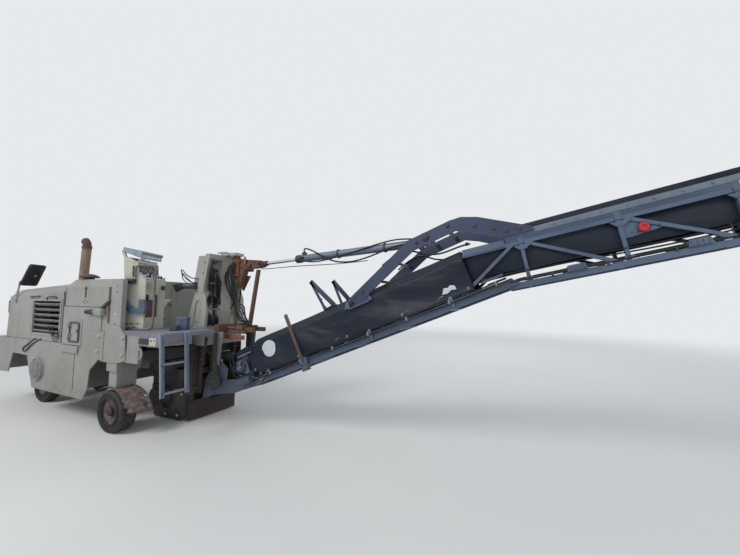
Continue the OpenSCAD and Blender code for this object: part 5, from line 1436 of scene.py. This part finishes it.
def wheel_fittings():
    for name, body, out in (("wheel_rear_left", "wheel_rl", -1), ("wheel_rear_right", "wheel_rr", 1),
            ("wheel_front_left", "wheel_fl", -1), ("wheel_front_right", "wheel_fr", 1)):
        low, high = box_mm(name)
        x, mid, z = ((a + b) / 2 for a, b in zip(low, high))
        half = (high.y - low.y) / 2
        face = mid + out * half
        hub = Shape()
        disc = mid + out * half * 0.2
        hub.lathe([(0, 0), (30, 0), (62, 4), (66, 12), (66, 52), (56, 66), (30, 70), (0, 70)],
            (x, disc + out * 40, z), OUT[out])
        hub.lathe([(196, 0), (204, 0), (206, 8), (198, 12), (196, 8), (196, 0)], (x, face - out * 10, z),
            OUT[out], 40)
        hub.bolts([(px, disc + out * 22, pz) for px, pz in ringed((x, z), 104, 8)], OUT[out], 24)
        hub.bolts([(px, disc + out * 110, pz) for px, pz in ringed((x, z), 34, 5)], OUT[out], 13)
        hub.done(name + "_hub", DARK_BROWN if "front" in name else OILY, body)
        tyre = Shape()
        for side in SIDES:
            edge = mid + side * half
            tyre.lathe([(212, -8), (216, 3), (226, 5), (236, 2), (240, -6)], (x, edge, z), OUT[side], 48)
            tyre.lathe([(262, -6), (266, 3), (276, 3), (282, -8)], (x, edge, z), OUT[side], 48)
        tyre.done(name + "_ribs", HOSE, body)


FENDER_THICK = 0.007


def fender():
    """The left fender, buckled and flared out behind the wheel."""
    across = 14
    rows = []
    # Angle about the axle, then the radius at the outer and the inner edge
    bends = ((133, 424, 404), (120, 410, 392), (104, 400, 384), (88, 392, 382), (72, 398, 400),
        (58, 418, 446), (44, 432, 500), (32, 440, 545), (21, 450, 580), (12, 520, 618), (6, 560, 640))
    steps = 56
    for i in range(steps + 1):
        f = i / steps * (len(bends) - 1)
        k = min(int(f), len(bends) - 2)
        t = f - k
        angle, near, far = (a + (b - a) * t for a, b in zip(bends[k], bends[k + 1]))
        a = math.radians(angle)
        row = []
        for j in range(across + 1):
            w = j / across
            r = near + (far - near) * w ** 1.2
            rear = max(0.0, (60 - angle) / 60)
            dent = noise.noise(Vector((i * 0.21, w * 4.0, 3.0))) * (4 + 20 * rear)
            lip = -14 * max(0.0, 1 - j / 1.5)
            y = -1004 + w * 310 + rear * 14 * math.sin(i * 0.9) * (1 - w)
            r += dent + lip
            row.append((r * math.cos(a), y, AXLE_Z + r * math.sin(a)))
        rows.append(row)
    torn = {(47, 10), (47, 11), (48, 10), (48, 11), (49, 10), (49, 11), (49, 9), (50, 9), (50, 10),
        (50, 11), (51, 10), (46, 11), (52, 10), (48, 12), (40, 12), (41, 12), (41, 13)}
    piece = skin("fender_left_buckled", rows, MACHINE, FENDER, "leg_l", FENDER_THICK, torn)
    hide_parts("fender_left")


def drum_fittings():
    face = box_mm("side_plate_left")[0].y
    (Shape()
     .bolts([(x, face, z) for x, z in ((-200, 90), (120, 90), (430, 100), (520, 470))], OUT[-1], 34)
     .done("guard_bolts", PALE_BOLT, "guard_l"))


dress_nodes()
hood_fittings()
housing_fittings()
hatch_fittings()
hull_fittings()
deck_fittings()
console_fittings()
tower_fittings()
mast_fittings()
cylinder_fittings()
cover_sheet()
conveyor_fittings()
ridge_brackets()
frame_fittings()
arm_fittings()
truss_fittings()
wheel_fittings()
fender()
drum_fittings()


# Camera, light and floor

BACKDROP = (0.80, 0.82, 0.84)
SKY = (0.84, 0.92, 1.0)
VIEWER = (6037, -4383, 2119)
VIEW_TURN = (93.934, -0.904, 24.680)
LENS_MM = 17.03
FLOOR_R = 120
FADE_FROM = 7
FADE_TO = 30


def camera():
    """The photographer's place, beside the conveyor's foot, with a wide lens."""
    lens = bpy.data.cameras.new("camera")
    lens.sensor_width = 36
    lens.lens = LENS_MM
    lens.clip_end = 300
    made = bpy.data.objects.new("camera", lens)
    made.location = MACHINE @ Vector(VIEWER)
    made.rotation_euler = [math.radians(a) for a in VIEW_TURN]
    bpy.context.scene.collection.objects.link(made)
    bpy.context.scene.camera = made


def lamp(name, place, aim, size, watts, color):
    light = bpy.data.lights.new(name, "AREA")
    light.shape = "DISK"
    light.size = size
    light.energy = watts
    light.color = color
    made = bpy.data.objects.new(name, light)
    made.location = place
    made.rotation_euler = (Vector(aim) - Vector(place)).to_track_quat("-Z", "Y").to_euler()
    bpy.context.scene.collection.objects.link(made)


def lights():
    """A high softbox on the left behind the viewer, and a pale sky all round."""
    lamp("key", (-5, -13, 13), (0, 0, 1), 7, 1700, (1.0, 0.98, 0.95))
    lamp("fill", (13, -9, 7), (1, 0, 1.5), 9, 300, (0.90, 0.95, 1.0))
    lamp("back", (2, 14, 10), (0, 0, 1.5), 9, 500, (1.0, 0.98, 0.95))
    world = bpy.data.worlds.new("sky")
    world.use_nodes = True
    bpy.context.scene.world = world
    tree = world.node_tree
    seen = tree.nodes["Background"]
    seen.inputs["Color"].default_value = (*BACKDROP, 1)
    seen.inputs["Strength"].default_value = 1.0
    sky = tree.nodes.new("ShaderNodeBackground")
    sky.inputs["Color"].default_value = (*SKY, 1)
    sky.inputs["Strength"].default_value = 0.55
    ray = tree.nodes.new("ShaderNodeLightPath")
    shown = ray.outputs["Is Camera Ray"]
    for kind in ("Is Glossy Ray", "Is Transmission Ray"):
        either = tree.nodes.new("ShaderNodeMath")
        either.operation = "MAXIMUM"
        tree.links.new(shown, either.inputs[0])
        tree.links.new(ray.outputs[kind], either.inputs[1])
        shown = either.outputs[0]
    mix = tree.nodes.new("ShaderNodeMixShader")
    tree.links.new(shown, mix.inputs[0])
    tree.links.new(sky.outputs[0], mix.inputs[1])
    tree.links.new(seen.outputs[0], mix.inputs[2])
    tree.links.new(mix.outputs[0], tree.nodes["World Output"].inputs["Surface"])


def floor():
    """A plain pale floor that fades into the backdrop far out."""
    bpy.ops.mesh.primitive_circle_add(vertices=96, radius=FLOOR_R, fill_type="NGON", location=(0, 0, 0))
    ground = bpy.context.object
    ground.name = "floor"
    f = Finish("floor", (0.72, 0.715, 0.70), 0.9)
    f.layer(f.fade(f.noise(0.4, 4), 0.3, 0.7, 0, 0.3), (0.67, 0.665, 0.65))
    ground.data.materials.append(f.done())
    glow = f.node("ShaderNodeEmission")
    glow.inputs["Color"].default_value = (*BACKDROP, 1)
    mix = f.node("ShaderNodeMixShader")
    f.feed(mix.inputs[0], f.fade(f.around((0, 0, 0), 2), FADE_FROM, FADE_TO))
    f.feed(mix.inputs[1], f.shader.outputs[0])
    f.feed(mix.inputs[2], glow.outputs[0])
    f.feed(f.tree.nodes["Material Output"].inputs["Surface"], mix.outputs[0])


camera()
lights()
floor()
bpy.context.scene.view_settings.view_transform = "Standard"
